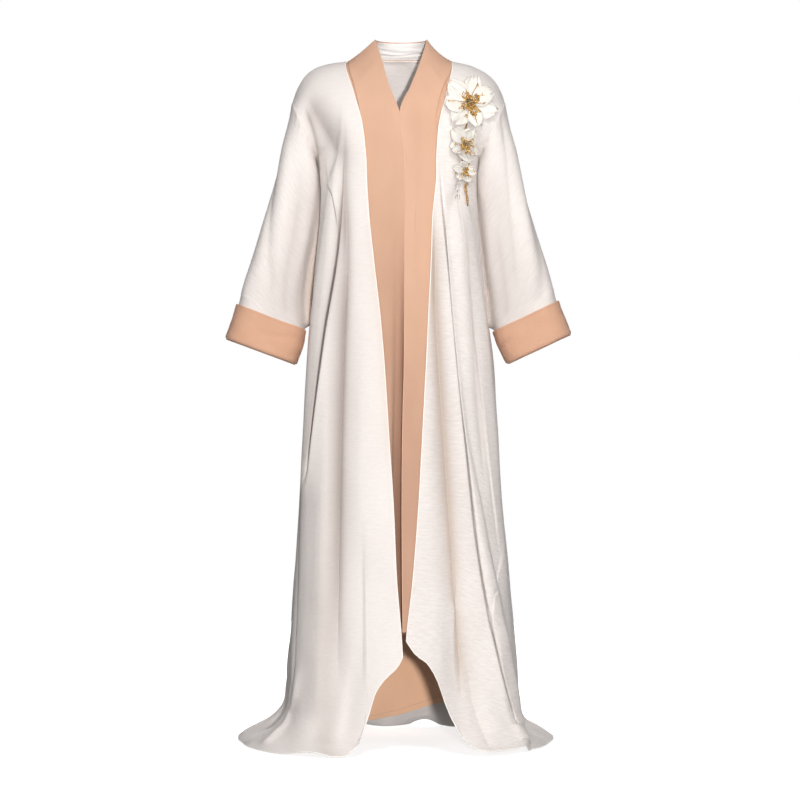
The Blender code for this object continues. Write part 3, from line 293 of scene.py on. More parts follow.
# ------------------------------------------------------------------ curves and sheets
def ease(value):
    """0 below 0, 1 above 1, and smooth between."""
    value = np.clip(value, 0, 1)
    return value * value * (3 - 2 * value)


def steps_to_one(steps):
    """Equal steps from 0 to 1."""
    return np.linspace(0, 1, steps + 1)


def smooth(knots, rows, at):
    """Rows (one for each knot) read at the places at, on a smooth curve through all of them."""
    rows = np.asarray(rows, float)
    at = np.asarray(at, float)
    slopes = np.gradient(rows, knots, axis=0, edge_order=2)
    index = np.clip(np.searchsorted(knots, at, side="right") - 1, 0, len(knots) - 2)
    step = knots[index + 1] - knots[index]
    t = (at - knots[index]) / step
    tail = (1,) * (rows.ndim - 1)
    step = step.reshape(step.shape + tail)
    t = t.reshape(t.shape + tail)
    start = (2 * t**3 - 3 * t**2 + 1) * rows[index] + (t**3 - 2 * t**2 + t) * step * slopes[index]
    end = (3 * t**2 - 2 * t**3) * rows[index + 1] + (t**3 - t**2) * step * slopes[index + 1]
    return start + end


def bezier(p0, p1, p2, p3, t):
    """Points of a cubic curve at the places t."""
    t = np.asarray(t, float)[:, None]
    return ((1 - t)**3 * np.asarray(p0) + 3 * (1 - t)**2 * t * np.asarray(p1)
            + 3 * (1 - t) * t**2 * np.asarray(p2) + t**3 * np.asarray(p3))


def through_three(first, middle, last, t):
    """The vector at t on a parabola through three vectors, at 0, 0.5 and 1."""
    first, middle, last = (np.asarray(v, float) for v in (first, middle, last))
    return (2 * (t - 0.5) * (t - 1) * first + 4 * t * (1 - t) * middle
            + 2 * t * (t - 0.5) * last)


def normals(points, wrap=False):
    """Unit normals of a grid of points (down, across), with the last step joined on if it wraps."""
    if wrap:
        across = np.roll(points, -1, axis=1) - np.roll(points, 1, axis=1)
    else:
        across = np.gradient(points, axis=1)
    down = np.gradient(points, axis=0)
    normal = np.cross(across, down)
    return normal / np.maximum(np.linalg.norm(normal, axis=2, keepdims=True), 1e-9)


def outward(points, wrap=False):
    """Normals that point away from the body's upright middle line."""
    normal = normals(points, wrap)
    middle = points.mean(axis=(0, 1))
    centre = np.array([0.0, 0.0, middle[2]])
    if np.sum(normal * (points - centre)) < 0:
        normal = -normal
    return normal


def fold_height(folds, x, z):
    """How far the folds move the cloth out (or in, below 0) at each x and z."""
    total = np.zeros(np.shape(x))
    for f in each(folds):
        along = (z - f["z0"]) / (f["z1"] - f["z0"])
        inside = np.clip(along, 0, 1)
        line = f["x0"] + (f["x1"] - f["x0"]) * inside + f["bow"] * np.sin(math.pi * inside)
        width = f["width0"] + (f["width1"] - f["width0"]) * inside
        height = f["height0"] + (f["height1"] - f["height0"]) * inside
        fade = np.interp(along, FOLD_IN, (0, 1)) * np.interp(along, FOLD_OUT, (1, 0))
        away = (x - line) * np.sign(f["x0"])
        across = away / np.where(away > 0, width / f["steep"], width)
        total += height * fade * fade * (3 - 2 * fade) * np.exp(-across**2)
    return total


# ------------------------------------------------------------------ the body's rows
def armhole(side, angle, towards):
    """A point of the armhole, at an angle from its top to its bottom. towards is -1 for the front."""
    top = np.array([SIDES[side]["top"][0], 0.0, SIDES[side]["top"][1]])
    bottom = np.array([SIDES[side]["bottom"][0], 0.0, SIDES[side]["bottom"][1]])
    point = (top + bottom) / 2 + math.cos(angle) * (top - bottom) / 2
    gap = SEAM_GAP / 2 + (TILTED_SEAM - SEAM_GAP / 2) * (1 + math.cos(angle)) / 2
    point[1] = towards * (math.sin(angle) * ARMHOLE_DEPTH + gap)
    return point


def arm_handle(side, down, towards):
    """The direction in which a yoke row leaves the armhole."""
    sign = SIDES[side]["sign"]
    at_top = np.subtract(SIDES[side]["near_arm"], SIDES[side]["top"])
    halfway, under = (np.multiply(v, (-sign, 1, 1)) for v in ARM_HANDLES)
    return through_three((at_top[0], 0, at_top[1]), halfway, under, down) * (1, towards, 1)


def edge_handle(side, down):
    """The direction in which a yoke row leaves the outer front's free edge."""
    sign = SIDES[side]["sign"]
    at_top = np.subtract(SIDES[side]["near_neck"], (YOKE["edge_" + side][0], SHOULDER_Z))
    halfway, under = (np.multiply(v, (sign, 1, 1)) for v in EDGE_HANDLES)
    return through_three((at_top[0], 0, at_top[1]), halfway, under, down)


def ring_points(row, side, turns, towards, inset=0.0):
    """Points of a level ring of the body at turns from 0, its middle, to 90 degrees, its side."""
    half = BODY["side_" + side][row] - inset
    reach = BODY["front" if towards < 0 else "back"][row] - inset
    square = BODY["square"][row]
    side_y = BODY["side_y"][row] * towards
    sine = np.sin(np.asarray(turns, float))
    full = np.maximum(1 - np.abs(sine)**square, 0)**(1 / square)
    x = SIDES[side]["sign"] * half * sine
    y = towards * (side_y + SEAM_GAP / 2 + (reach - side_y) * full)
    z = np.full(sine.shape, BODY_Z[row])
    return np.stack([x, y, z], axis=-1)


def turn_at(row, side, x, inset=0.0):
    """The turn at which a level ring of the body reaches x."""
    share = SIDES[side]["sign"] * x / (BODY["side_" + side][row] - inset)
    return math.asin(max(-MOST_SINE, min(MOST_SINE, share)))


def edge_place(side, z):
    """x of the outer front's free edge at each z."""
    yoke = np.array([yoke_edge(side, down) for down in YOKE["down"]])
    heights = np.concatenate([yoke[:, 2], BODY_Z])[::-1]
    places = np.concatenate([yoke[:, 0], BODY["edge_" + side]])[::-1]
    return np.interp(z, heights, places)


def front_fold_height(side, x, z):
    """The outer front's folds, faded out towards its free edge and its outer side."""
    out = SIDES[side]["sign"] * x
    half = np.interp(z, BODY_Z[::-1], BODY["side_" + side][::-1])
    from_edge = ease((out - SIDES[side]["sign"] * edge_place(side, z)) / EDGE_FADE)
    from_side = ease((half - out) / SIDE_FADE)
    return fold_height(FRONT_FOLDS[side], x, z) * from_edge * from_side


def yoke_edge(side, down):
    """A point of the outer front's free edge, between the shoulder (0) and the underarm (1)."""
    under = ring_points(0, side, [turn_at(0, side, BODY["edge_" + side][0])], -1)[0]
    quarter = down * math.pi / 2
    x = np.interp(down, YOKE_PLACES, np.append(YOKE["edge_" + side], under[0]))
    y = (under[1] + TILTED_SEAM) * math.sin(quarter)**YOKE_BEND - TILTED_SEAM
    z = SHOULDER_Z + (under[2] - SHOULDER_Z) * (1 - math.cos(quarter)**YOKE_BEND)
    return np.array([x, y, z])


def edge_frame(side, down):
    """The outer front's free edge: a point, the direction across the front there, and its normal."""
    handle = edge_handle(side, down)
    handle = handle / np.linalg.norm(handle)
    low, high = min(down + TANGENT_STEP, 1), max(down - TANGENT_STEP, 0)
    run = yoke_edge(side, low) - yoke_edge(side, high)
    normal = np.cross(run, handle) * SIDES[side]["sign"]
    return yoke_edge(side, down), handle, normal / np.linalg.norm(normal)


def front_rows(side, across):
    """Rows of an outer front at the places across, from its free edge (0) to its outer side (1)."""
    across = np.asarray(across, float)
    rows = []
    for down in YOKE["down"]:
        edge = yoke_edge(side, down)
        outer = armhole(side, down * math.pi, -1)
        rows.append(bezier(edge, edge + edge_handle(side, down),
                           outer + arm_handle(side, down, -1), outer, across))
    for row in range(len(BODY["height"])):
        start = turn_at(row, side, BODY["edge_" + side][row])
        rows.append(ring_points(row, side, start + (math.pi / 2 - start) * across, -1))
    return np.array(rows)


def neckline(side, share):
    """The back neck seam, from its end on the shoulder (0) to centre back (1)."""
    turn = np.asarray(share, float) * math.pi / 2
    x = YOKE["edge_" + side][0] * np.cos(turn)
    y = NECKLINE_DEPTH * np.sin(turn) + TILTED_SEAM
    z = SHOULDER_Z + NECKLINE_RISE * np.sin(turn)**2
    return np.stack([x, y, z], axis=-1)


def back_half_rows(side, across):
    """Rows of one half of the back at the places across, from its outer side (0) to its middle (1)."""
    across = np.asarray(across, float)
    sign = SIDES[side]["sign"]
    data = SIDES[side]
    rows = []
    for down in YOKE["down"]:
        outer = armhole(side, down * math.pi, 1)
        if down == 0:
            seam = bezier(outer, (data["near_arm"][0], TILTED_SEAM, data["near_arm"][1]),
                          (data["near_neck"][0], TILTED_SEAM, data["near_neck"][1]),
                          neckline(side, 0), np.clip(across / SHOULDER_SHARE, 0, 1))
            neck = neckline(side, (across - SHOULDER_SHARE) / (1 - SHOULDER_SHARE))
            rows.append(np.where(across[:, None] < SHOULDER_SHARE, seam, neck))
            continue
        middle = np.array([
            0, NECKLINE_DEPTH + (CENTRE_BACK_DEPTH - NECKLINE_DEPTH) * math.sin(down * math.pi / 2),
            SHOULDER_Z + NECKLINE_RISE + (SIDES[side]["bottom"][1] - SHOULDER_Z) * down**BACK_DROP])
        rows.append(bezier(outer, outer + arm_handle(side, down, 1),
                           middle + (sign * BACK_HANDLE, 0, 0), middle, across))
    for row in range(len(BODY["height"])):
        rows.append(ring_points(row, side, math.pi / 2 * (1 - across), 1))
    return np.array(rows)


def back_rows(across):
    """Rows of the whole back at the places across, from the wearer's right (0) to the left (1)."""
    across = np.asarray(across, float)
    right = back_half_rows("right", 2 * across[across <= 0.5])
    left = back_half_rows("left", 2 * (1 - across[across > 0.5]))
    return np.concatenate([right, left], axis=1)


def row_knots(column):
    """The length run down one column of rows, as a knot for each row."""
    steps = np.linalg.norm(np.diff(column, axis=0), axis=1)
    return np.concatenate([[0], np.cumsum(steps)])


def body_knots():
    """One knot for each row, shared by the fronts and the back so that their side seams match."""
    return row_knots(front_rows("right", [MID_COLUMN])[:, 0])


# ------------------------------------------------------------------ sheets cut from the rows
def cut_down(knots, rows, level):
    """Where each column first comes down to the height that level gives for its x, as a knot."""
    at = np.linspace(0, knots[-1], HEM_SEARCH)
    found = []
    for column in np.moveaxis(rows, 1, 0):
        path = smooth(knots, column, at)
        past = np.flatnonzero(path[:, 2] + CARRY_HEIGHT < level(path[:, 0]))
        found.append(at[past[0]] if len(past) else knots[-1])
    return found


def hem_level(hem, sign):
    """A hem's height above the floor as a function of x, from its table outwards."""
    def level(x):
        out = np.clip(sign * x, hem["x"][0], hem["x"][-1])
        return smooth(hem["x"], hem["height"], out)
    return level


def flat_level(height):
    """The same for a level edge."""
    return lambda x: np.full(x.shape, height)


def spacing(steps):
    """The rows of a long sheet, as shares of its length."""
    step, share = np.array(ROW_SPACING).T
    return np.interp(steps_to_one(steps), step, share)


def inner_spacing(steps):
    """The rows of an inner front, closer together in the lapel."""
    return steps_to_one(steps)**LAPEL_CROWDING


def sheet_points(knots, rows, tops, bottoms, down):
    """A grid of points: each column of rows, read from its top to its bottom at the shares down."""
    columns = [smooth(knots, rows[:, j], tops[j] + (bottoms[j] - tops[j]) * down)
               for j in range(rows.shape[1])]
    return np.stack(columns, axis=1)


def yoke_share(knots, at):
    """How far down the yoke each knot is, from the shoulder (0) to the underarm (1)."""
    return np.interp(at, knots[:len(YOKE_PLACES)], YOKE_PLACES)


def hold_seam(points, knots, down, side, column, towards, weights):
    """Moves a sheet's outer edge exactly onto the armhole and the side seam, and its neighbours
    part of the way."""
    at = down * knots[-1]
    under = len(YOKE["down"])
    exact = points[:, column].copy()
    low = smooth(knots[under:], BODY["height"], at) < TUCK_HEIGHTS[1]
    gap = np.where(low, TILTED_SEAM, SEAM_GAP / 2)
    exact[:, 1] = smooth(knots[under:], BODY["side_y"], at) + towards * gap
    for row, share in enumerate(yoke_share(knots, at)):
        if share < 1:
            exact[row] = armhole(side, share * math.pi, towards)
    return points + (exact - points[:, column])[:, None, :] * weights[None, :, None]


def folded(points, height):
    """The sheet with its folds, kept off the floor."""
    points = points + outward(points) * height[..., None]
    points[..., 2] = np.maximum(points[..., 2], LEAST_LIFT - CARRY_HEIGHT)
    return points


def tucked(points):
    """The sheet with the tuck at each side, just above the floor."""
    x, height = points[..., 0], points[..., 2] + CARRY_HEIGHT
    low, high = TUCK_HEIGHTS
    shape = ease(height / low) * ease((high - height) / (high - low))
    shape = shape * np.exp(-((points[..., 1] - TUCK_Y) / TUCK_WIDTH)**2)
    shape = shape * ease((np.abs(x) - TUCK_FROM[0]) / (TUCK_FROM[1] - TUCK_FROM[0]))
    points[..., 0] -= np.sign(x) * shape * np.where(x < 0, TUCK["right"], TUCK["left"])
    return points


def back_points(steps):
    """The points of the back."""
    across = steps_to_one(steps[0])
    rows = back_rows(across)
    knots = body_knots()
    down = spacing(steps[1])
    points = sheet_points(knots, rows, np.zeros(len(across)), [knots[-1]] * len(across), down)
    points = hold_seam(points, knots, down, "right", 0, 1, (1 - across)**BACK_HOLD)
    points = hold_seam(points, knots, down, "left", -1, 1, across**BACK_HOLD)
    fade = ease(across / BACK_FADE) * ease((1 - across) / BACK_FADE)
    return tucked(folded(points, fold_height(BACK_FOLDS, points[..., 0], points[..., 2]) * fade))


def inner_back_points(steps):
    """The points of the inner back, which hangs inside the back from its top edge to its hem."""
    across = np.linspace(INNER_BACK_SIDE, 1 - INNER_BACK_SIDE, steps[0] + 1)
    rows = back_rows(across)
    knots = body_knots()
    tops = cut_down(knots, rows, flat_level(INNER_BACK_TOP))
    bottoms = cut_down(knots, rows, hem_level(INNER_BACK_HEM, 1))
    down = steps_to_one(steps[1])
    points = sheet_points(knots, rows, tops, bottoms, down)
    inset = INNER_BACK_INSET[0] + (INNER_BACK_INSET[1] - INNER_BACK_INSET[0]) * down
    return points - outward(points) * inset[:, None, None]


def inner_front_rows(side, across):
    """Rows of an inner front, from its neck edge or centre edge (0) to under the outer front (1)."""
    across = np.asarray(across, float)
    sign = SIDES[side]["sign"]
    rows = []
    for index, down in enumerate(YOKE["down"]):
        neck = np.array([YOKE["v_" + side][index], YOKE["v_y"][index], YOKE["v_z"][index]])
        if side == "right":
            neck[1] += LAP_STEP * ease(np.interp(down, LAP_FROM, (0, 1)))
        edge, handle, normal = edge_frame(side, down)
        outer = edge + handle * LAPEL["beyond_" + side][index] - normal * LAPEL["inset"][index]
        if down == 0:
            (tip_x, tip_z), (end_x, end_z) = SIDES[side]["from_tip"], SIDES[side]["to_shoulder"]
            rows.append(bezier(neck, neck + (tip_x, 0, tip_z), outer + (end_x, 0, end_z), outer,
                               across))
            continue
        reach = np.linalg.norm(outer - neck) / 3
        neck_handle = (outer - neck) / 3 - (0, LAPEL_ROLL, 0)
        rows.append(bezier(neck, neck + neck_handle, outer - handle * reach, outer, across))
    for row in range(len(BODY["height"])):
        centre = BODY["centre"][row] - (UNDER_LAP * sign if side == "right" else 0)
        beyond = np.interp(BODY["height"][row], INNER_REACH["height"], INNER_REACH["beyond"])
        start = turn_at(row, side, centre, INNER_INSET)
        end = turn_at(row, side, BODY["edge_" + side][row] + sign * beyond, INNER_INSET)
        points = ring_points(row, side, start + (end - start) * across, -1, INNER_INSET)
        if side == "right":
            points[:, 1] += LAP_STEP * ease((points[:, 0] - BODY["centre"][row]) / LAP_RISE + 1)
        rows.append(points)
    return np.array(rows)


def inner_front_points(side, steps):
    """The points of an inner front with its lapel."""
    across = steps_to_one(steps[0])
    rows = inner_front_rows(side, across)
    knots = row_knots(inner_front_rows(side, [0.5])[:, 0])
    bottoms = cut_down(knots, rows, flat_level(INNER_FRONT_HEM[side]))
    points = sheet_points(knots, rows, np.zeros(len(across)), bottoms, inner_spacing(steps[1]))
    x, z = points[..., 0], points[..., 2]
    outer_folds = np.minimum(front_fold_height(side, x, z), 0)
    return folded(points, fold_height(INNER_FOLDS[side], x, z) + outer_folds)


def under_collar_points(side, steps):
    """The points of an under-collar: a strip inside the lapel that goes on under the outer front."""
    across = np.linspace(UNDER_COLLAR_START, 1, steps[0])
    rows = inner_front_rows(side, across)
    knots = row_knots(inner_front_rows(side, [0.5])[:, 0])
    down = np.linspace(UNDER_COLLAR_ENDS[0], UNDER_COLLAR_ENDS[1], steps[1] + 1)
    at = np.interp(down, YOKE_PLACES, knots[:len(YOKE_PLACES)])
    lapel = smooth(knots, rows, at)
    inward = outward(lapel)
    points = []
    for row, share in enumerate(down):
        edge, handle, normal = edge_frame(side, share)
        under = edge + handle * UNDER_COLLAR_BEYOND
        inset = np.interp(share, LAPEL["down"], LAPEL["under"])
        depth = np.interp(share, LAPEL["down"], LAPEL["inset"])
        points.append(np.vstack([lapel[row] - inward[row] * (inset - depth), under - normal * inset]))
    return np.array(points)


# ------------------------------------------------------------------ collar
def collar_points(steps, inset, top, bottom):
    """The stand round the back of the neck, from its top edge to its seam, right to left. The
    inset moves it inwards, and top and bottom are the shares of its height where it ends."""
    turn = np.linspace(0, math.pi, steps[0] + 1)
    seam_half = (YOKE["edge_left"][0] - YOKE["edge_right"][0]) / 2 - SEAM_GAP
    points = []
    for down in np.linspace(top, bottom, steps[1] + 1):
        right, left = (inner_front_rows(side, [down, 1])[0] for side in SIDES)
        short = seam_half - (left[1, 0] - right[1, 0]) / 2
        middle_x = (left[0, 0] + right[0, 0]) / 2
        half = (left[0, 0] - right[0, 0]) / 2 + short * down**2
        depth = STAND_DEPTH + (NECKLINE_DEPTH - STAND_DEPTH) * down**STAND_BEND
        side_z = right[0, 2] + (left[0, 2] - right[0, 2]) * (1 - np.cos(turn)) / 2
        seam_z = SHOULDER_Z + NECKLINE_RISE + COLLAR_CLEAR
        back_z = STAND_HEIGHT + (seam_z - STAND_HEIGHT) * down
        x = middle_x - half * np.cos(turn)
        y = depth * np.sin(turn) + TILTED_SEAM + COLLAR_CLEAR * (1 - np.sin(turn))
        z = side_z + (back_z - side_z) * np.sin(turn)**2
        points.append(np.stack([x, y, z], axis=-1))
    points = np.array(points)
    return points - outward(points) * inset


# ------------------------------------------------------------------ sleeves
def sleeve_point_rows(side, angles):
    """Rings of a sleeve from the armhole to the cuff's lower edge, at angles from its outer side."""
    data = SLEEVES[side]
    angles = np.asarray(angles, float)
    rows = []
    for row in range(LAST_RING + 1):
        middle_y, depth = SLEEVE_RINGS["middle_y"][row], SLEEVE_RINGS["depth"][row]
        outer = np.array([data["outer_x"][row], middle_y, data["outer_z"][row]])
        inner = np.array([data["inner_x"][row], middle_y, data["inner_z"][row]])
        middle, half = (outer + inner) / 2, (outer - inner) / 2
        ring = middle + np.cos(angles)[:, None] * half
        ring[:, 1] += np.sin(angles) * depth
        if row == 0:
            away = np.array([half[2], 0, -half[0]]) / np.linalg.norm(half) * SIDES[side]["sign"]
            shift = SLEEVE_SHIFT * (1 + ARMPIT_SHIFT * (1 - np.cos(angles)) / 2)
            ring += away * shift[:, None]
        rows.append(ring)
    return np.array(rows)


def sleeve_points(side, places, steps):
    """Points of a sleeve at places down it, in rings: 0 is the armhole and the last ring the hem."""
    angles = np.arange(steps) / steps * 2 * math.pi
    rows = sleeve_point_rows(side, angles)
    return smooth(np.arange(len(rows), dtype=float), rows, places)


def tube_normals(points):
    """Normals of a tube that point away from its own middle line."""
    normal = normals(points, wrap=True)
    middle = points.mean(axis=1, keepdims=True)
    return normal if np.sum(normal * (points - middle)) > 0 else -normal


def cuff_points(side, steps):
    """A turned-back cuff: its outer layer, the fold at its lower edge, and its inner layer."""
    low, high = LAST_RING, CUFF_TOP_ROW
    above, below = CUFF_TURN
    outer = [(high + (low - above - high) * t, CUFF_OFFSET + CUFF_FLARE * (1 - t))
             for t in steps_to_one(steps[1])]
    inside = -CUFF_OFFSET * CUFF_INNER
    turned = [(low + below, 0.0), (low - above, inside), (low - CUFF_RETURN, inside)]
    places, offsets = np.array(outer + turned).T
    low_ring = sleeve_points(side, np.array([low - CUFF_SLOPE_STEP, low]), steps[0])
    beyond = (low_ring[1] - low_ring[0]) / CUFF_SLOPE_STEP
    points = sleeve_points(side, np.minimum(places, low), steps[0])
    points += np.maximum(places - low, 0)[:, None, None] * beyond
    even = sleeve_points(side, np.linspace(high, low, len(places)), steps[0])
    return points + tube_normals(even) * offsets[:, None, None]


# ------------------------------------------------------------------ the spray on the left front
class FrontFinder:
    """Finds the point and normal of a front, given as a grid of points, at an x and a z."""

    def __init__(self, points):
        facing = outward(points)
        self.corners, self.normals = [], []
        for made, kept in ((points, self.corners), (facing, self.normals)):
            a, b, c, d = made[:-1, :-1], made[:-1, 1:], made[1:, 1:], made[1:, :-1]
            kept.extend(np.stack(three, axis=-2).reshape(-1, 3, 3) for three in ((a, b, c), (a, c, d)))
        self.corners = np.concatenate(self.corners)
        self.normals = np.concatenate(self.normals)

    def at(self, x, z):
        """Points and normals at the arrays x and z."""
        first = self.corners[:, 0]
        u, v = self.corners[:, 1] - first, self.corners[:, 2] - first
        area = u[:, 0] * v[:, 2] - u[:, 2] * v[:, 0]
        area = np.where(np.abs(area) < 1e-9, 1e-9, area)
        found, facing = np.empty(x.shape + (3,)), np.empty(x.shape + (3,))
        for place in np.ndindex(x.shape):
            dx, dz = x[place] - first[:, 0], z[place] - first[:, 2]
            second = (dx * v[:, 2] - dz * v[:, 0]) / area
            third = (dz * u[:, 0] - dx * u[:, 2]) / area
            best = np.argmax(np.minimum(np.minimum(second, third), 1 - second - third))
            share = np.array([1 - second[best] - third[best], second[best], third[best]])
            found[place] = share @ self.corners[best]
            facing[place] = share @ self.normals[best]
            facing[place] /= np.linalg.norm(facing[place])
        return found, facing


def leaf_points(finder, foot, turn, length, width, base, lift, steps):
    """A petal-shaped sheet over the front, moved out by base at its foot and lift more at its tip."""
    along = steps_to_one(steps[1])[:, None]
    over = np.linspace(-1, 1, steps[0] + 1)[None, :]
    half = width / 2 * np.sin(math.pi * (PETAL_SHAPE[0] + PETAL_SHAPE[1] * along))
    x = foot[0] + along * length * math.sin(turn) + over * half * math.cos(turn)
    z = foot[1] + along * length * math.cos(turn) - over * half * math.sin(turn)
    ground, facing = finder.at(x, z)
    height = base + lift * along**PETAL_CURVE + PETAL_CUP * over**2 * along
    return ground + facing * height[..., None]


def petal_points(finder, blossom, number, steps):
    """One petal of a blossom's ring. Every second one lies over its neighbours."""
    turns, sizes, rings = PETAL_PHASES
    sway = PETAL_SWAY * math.sin(turns * number + blossom["x"] * rings)
    turn = math.radians(blossom["turn"] + sway)
    turn += number * 2 * math.pi / blossom["petals"]
    length = blossom["length"] * (1 + PETAL_VARIETY * math.sin(sizes * number + 1))
    start = PETAL_START * length
    foot = (blossom["x"] + start * math.sin(turn), blossom["z"] + start * math.cos(turn))
    layer = 2 if number == blossom["petals"] - 1 else number % 2
    base = PETAL_FOOT_LIFT + PETAL_LAYER * layer
    return leaf_points(finder, foot, turn, length, blossom["width"], base, blossom["lift"], steps)


# ------------------------------------------------------------------ the scene's own sizes
EDGE_ROLL = 0.0011         # radius of the rolled free edges and hems
UNDER_EXTRA = 9            # rows by which the fine under-collar is longer
SEAM_ROLL = 0.0010         # radius of the ridges along the seams
CUFF_STITCH = (1, -3)      # the rows of the fine cuff that are stitched
CUFF_SEAM = 68             # the column of the fine cuff where its seam is
LAP_ROLL = 0.0008          # radius of the rolled edge where the inner fronts lap
LAP_TOP = -0.112           # the height of the neck opening's lower end, where that edge starts
FACING_ENDS = (0.04, 0.94)  # how far down the stand the facing starts and ends
FACING_WRINKLES = 0.0007   # height of its wrinkles
THIN_ROLL, NECK_ROLL = 0.0007, 0.0010    # radii of the neck's and the cuffs' seam lines
NECK_SEAM_DROP, NECK_ROLL_DROP = 0.0006, 0.0016    # how far below the facing, and below that
CUFF_STITCH_RISE = 0.0001  # the stitches' middles, above the cloth
HEM_STITCH_RISE = 0.0002
INNER_STITCH_RISE = 0.0009
CUFF_STITCHING = (0.0040, 0.0026, 0.00035)    # how far apart the cuffs' stitches are, length, radius
HEM_STITCH = (0.0042, 0.0028)    # how far apart the stitches of the peach hems are, and how long
THREAD, INNER_THREAD = 0.00040, 0.00045    # and their radii, on the strips and on the inner back
HEM_STITCH_ROW, HEM_STITCH_COLUMNS = -4, 48    # the row of a fine inner front they lie on
SPRAY_ROWS = 150           # the rows of the fine front that the spray lies on

# The beads of each blossom: how many gold ones, how far they reach, their size, trails and grey ones.
BEAD_RINGS = [
    dict(count=560, reach=0.0250, size=0.00115, trails=10, grey=34),
    dict(count=260, reach=0.0165, size=0.00105, trails=8, grey=16),
    dict(count=130, reach=0.0110, size=0.00100, trails=6, grey=0),
]

# Each cluster's lobes: share of its beads, place across and up in reaches, and size in reaches.
CLUSTER_LOBES = [(0.45, 0.0, 0.0, 0.62), (0.20, 0.25, -0.62, 0.45), (0.15, -0.35, 0.55, 0.40),
                 (0.12, 0.55, 0.35, 0.34), (0.08, -0.50, -0.35, 0.30)]
CLUSTERS = ("beads_upper", "beads_middle", "beads_lower")
TRAIL_TURN = 12            # the first trail, past the blossom's first petal, in degrees
# Beads, in their own size: how they differ, how they are squashed and how deep they sit, and the
# same for the long ones, with how long and thick those are.
BEAD_SIZES, BEAD_SQUASH, BEAD_RISE = (0.75, 1.2), (0.85, 1.15), (-0.25, 0.9)
LONG_RISE, LONG_LENGTH, LONG_WIDTH = (0.2, 1.4), 3.6, 0.55
MANY_LONG, FEW_LONG = 0.25, 0.2    # the share of long beads
CLUSTER_SQUEEZE = 0.75     # how narrow the gold clusters are
# The trails: lengths in the cluster's reaches, gap and size in beads, sway, and the few beads at
# their ends, which lie this far apart.
TRAIL_REACH, TRAIL_GAP, TRAIL_SIZE, TRAIL_SWAY, TRAIL_END = (0.9, 1.7), 1.3, 0.85, 0.0012, (9, 0.0032)
GREY_REACH, GREY_SIZE = 0.35, 0.9
CRYSTAL_RISE = 0.0012      # the grey beads, above the gold ones
# Strands of the stem and between the blossoms, and of the fringe: gap, sway and bead radius.
STEM_STRAND, LINK_GAP, LINK_SWAYS, LINK_BEAD = (0.0021, 0.0005, 0.0012), 0.0017, (0.0016, 0.0024), 0.00105
FRINGE_STRANDS, FRINGE_STRAND, FRINGE_LEAN, FRINGE_SINK = 4, (0.0023, 0.0009, 0.0008), 0.0012, 0.0012
FRINGE_SHORTEST = 0.72     # of its length
STEM_STRANDS = (-0.0018, 0.0016, 0.0)    # places of the stem's strands across it
DROP, DROP_BELOW, DROP_RISE = 0.0024, 0.0035, 0.001    # radius and place of the drop at its foot
# Waves across a petal: height, how fast they run across and along it, and how much they differ from
# petal to petal.
RUFFLES = ((1.0, 6.0, 0.0, 1.9), (0.8, 10.5, 4.0, 2.3))
PLEATS = ((1.0, 13.0, 0.0, 1.0),)
NOTCHES = ((1.0, 9.0, 0.0, 1.3), (0.6, 15.0, 0.0, 1.0))
PETAL_RUFFLE, PETAL_PLEAT, PETAL_NOTCH = 0.075, 0.035, 0.30    # and how high each kind is

# Lights: place, what it points at, its size, power in watts and colour.
LIGHTS = [
    ("front", (0.45, -6.5, -0.66), (0.0, 0.0, -0.72), (0.22, 0.22), 296.0, (1.0, 0.99, 0.985)),
    ("key", (2.6, -4.2, 0.8), (0.0, 0.0, -0.5), (0.9, 0.9), 26.0, (1.0, 0.985, 0.97)),
    ("fill", (-2.8, -4.0, 0.6), (0.0, 0.0, -0.5), (1.2, 1.2), 26.0, (1.0, 1.0, 1.0)),
    ("top", (0.2, -3.0, 2.6), (0.0, 0.0, -0.3), (1.0, 1.0), 66.0, (1.0, 1.0, 1.0)),
    ("rear", (0.0, 6.6, 0.3), (0.0, 0.0, -0.7), (1.6, 1.6), 330.0, (1.0, 1.0, 1.0)),
]
AMBIENT = 0.14             # strength of the even light from all round
FLOOR_GLOW = 0.75          # keeps the floor pale without lighting the cloth
FLOOR_COLOURS = (249.311,) * 3, (246.987,) * 3
FLOOR_RADIUS, FLOOR_CORNERS = 3.0, 96
BACKDROP = 1.0             # strength of the white behind everything
CAMERA_PLACE = (0.0, -5.5, -0.705)
CAMERA_FOCAL, PICTURE = 2629, 800    # focal length and width of the picture, in its pixels
SENSOR = 36.0              # width of the camera's film, in millimetres

# Where the random draws of each piece start.
SEEDS = dict(front=11, front_crinkle=21, back=31, back_crinkle=41, inner_front=51, inner_back=61,
             facing=71, sleeve=81, sleeve_crinkle=83, cuff=91, beads=7)

# ------------------------------------------------------------------ fine cloth
# How many steps the fine sheets have across and down.
FINE_FRONT = (132, 270)
FINE_BACK = (180, 194)
FINE_SLEEVE = (112, 150)
FINE_CUFF = (120, 14)
FINE_INNER_FRONT = (64, 240)
FINE_INNER_BACK = (90, 70)
FINE_COLLAR = (90, 24)
FINE_UNDER_COLLAR = (16, 90)
FINE_PETAL = (16, 16)
DENSE = 3                  # a front is first made with this many times more columns
RIPPLE_SPREAD = (0.6, 1.8)  # shortest and longest of a kind of ripples, in its given lengths
CROWD = 5.0                # how much closer together the columns are at a crease
CROWD_WIDTH = 0.006        # and how far from it
# The slot under a sharp lip of a common height: how deep, how wide and how far under it.
SLOT_DEPTH, SLOT_WIDTH, SLOT_AT = 0.0085, 0.0017, 0.0022
SHARP_LIP, COMMON_LIP = 0.003, 0.0075
GROOVE = 0.65              # depth of the groove beside a raised lip, as a share of its height
GROOVE_REACH = 0.30        # how wide the groove is, as a share of the lip's reach

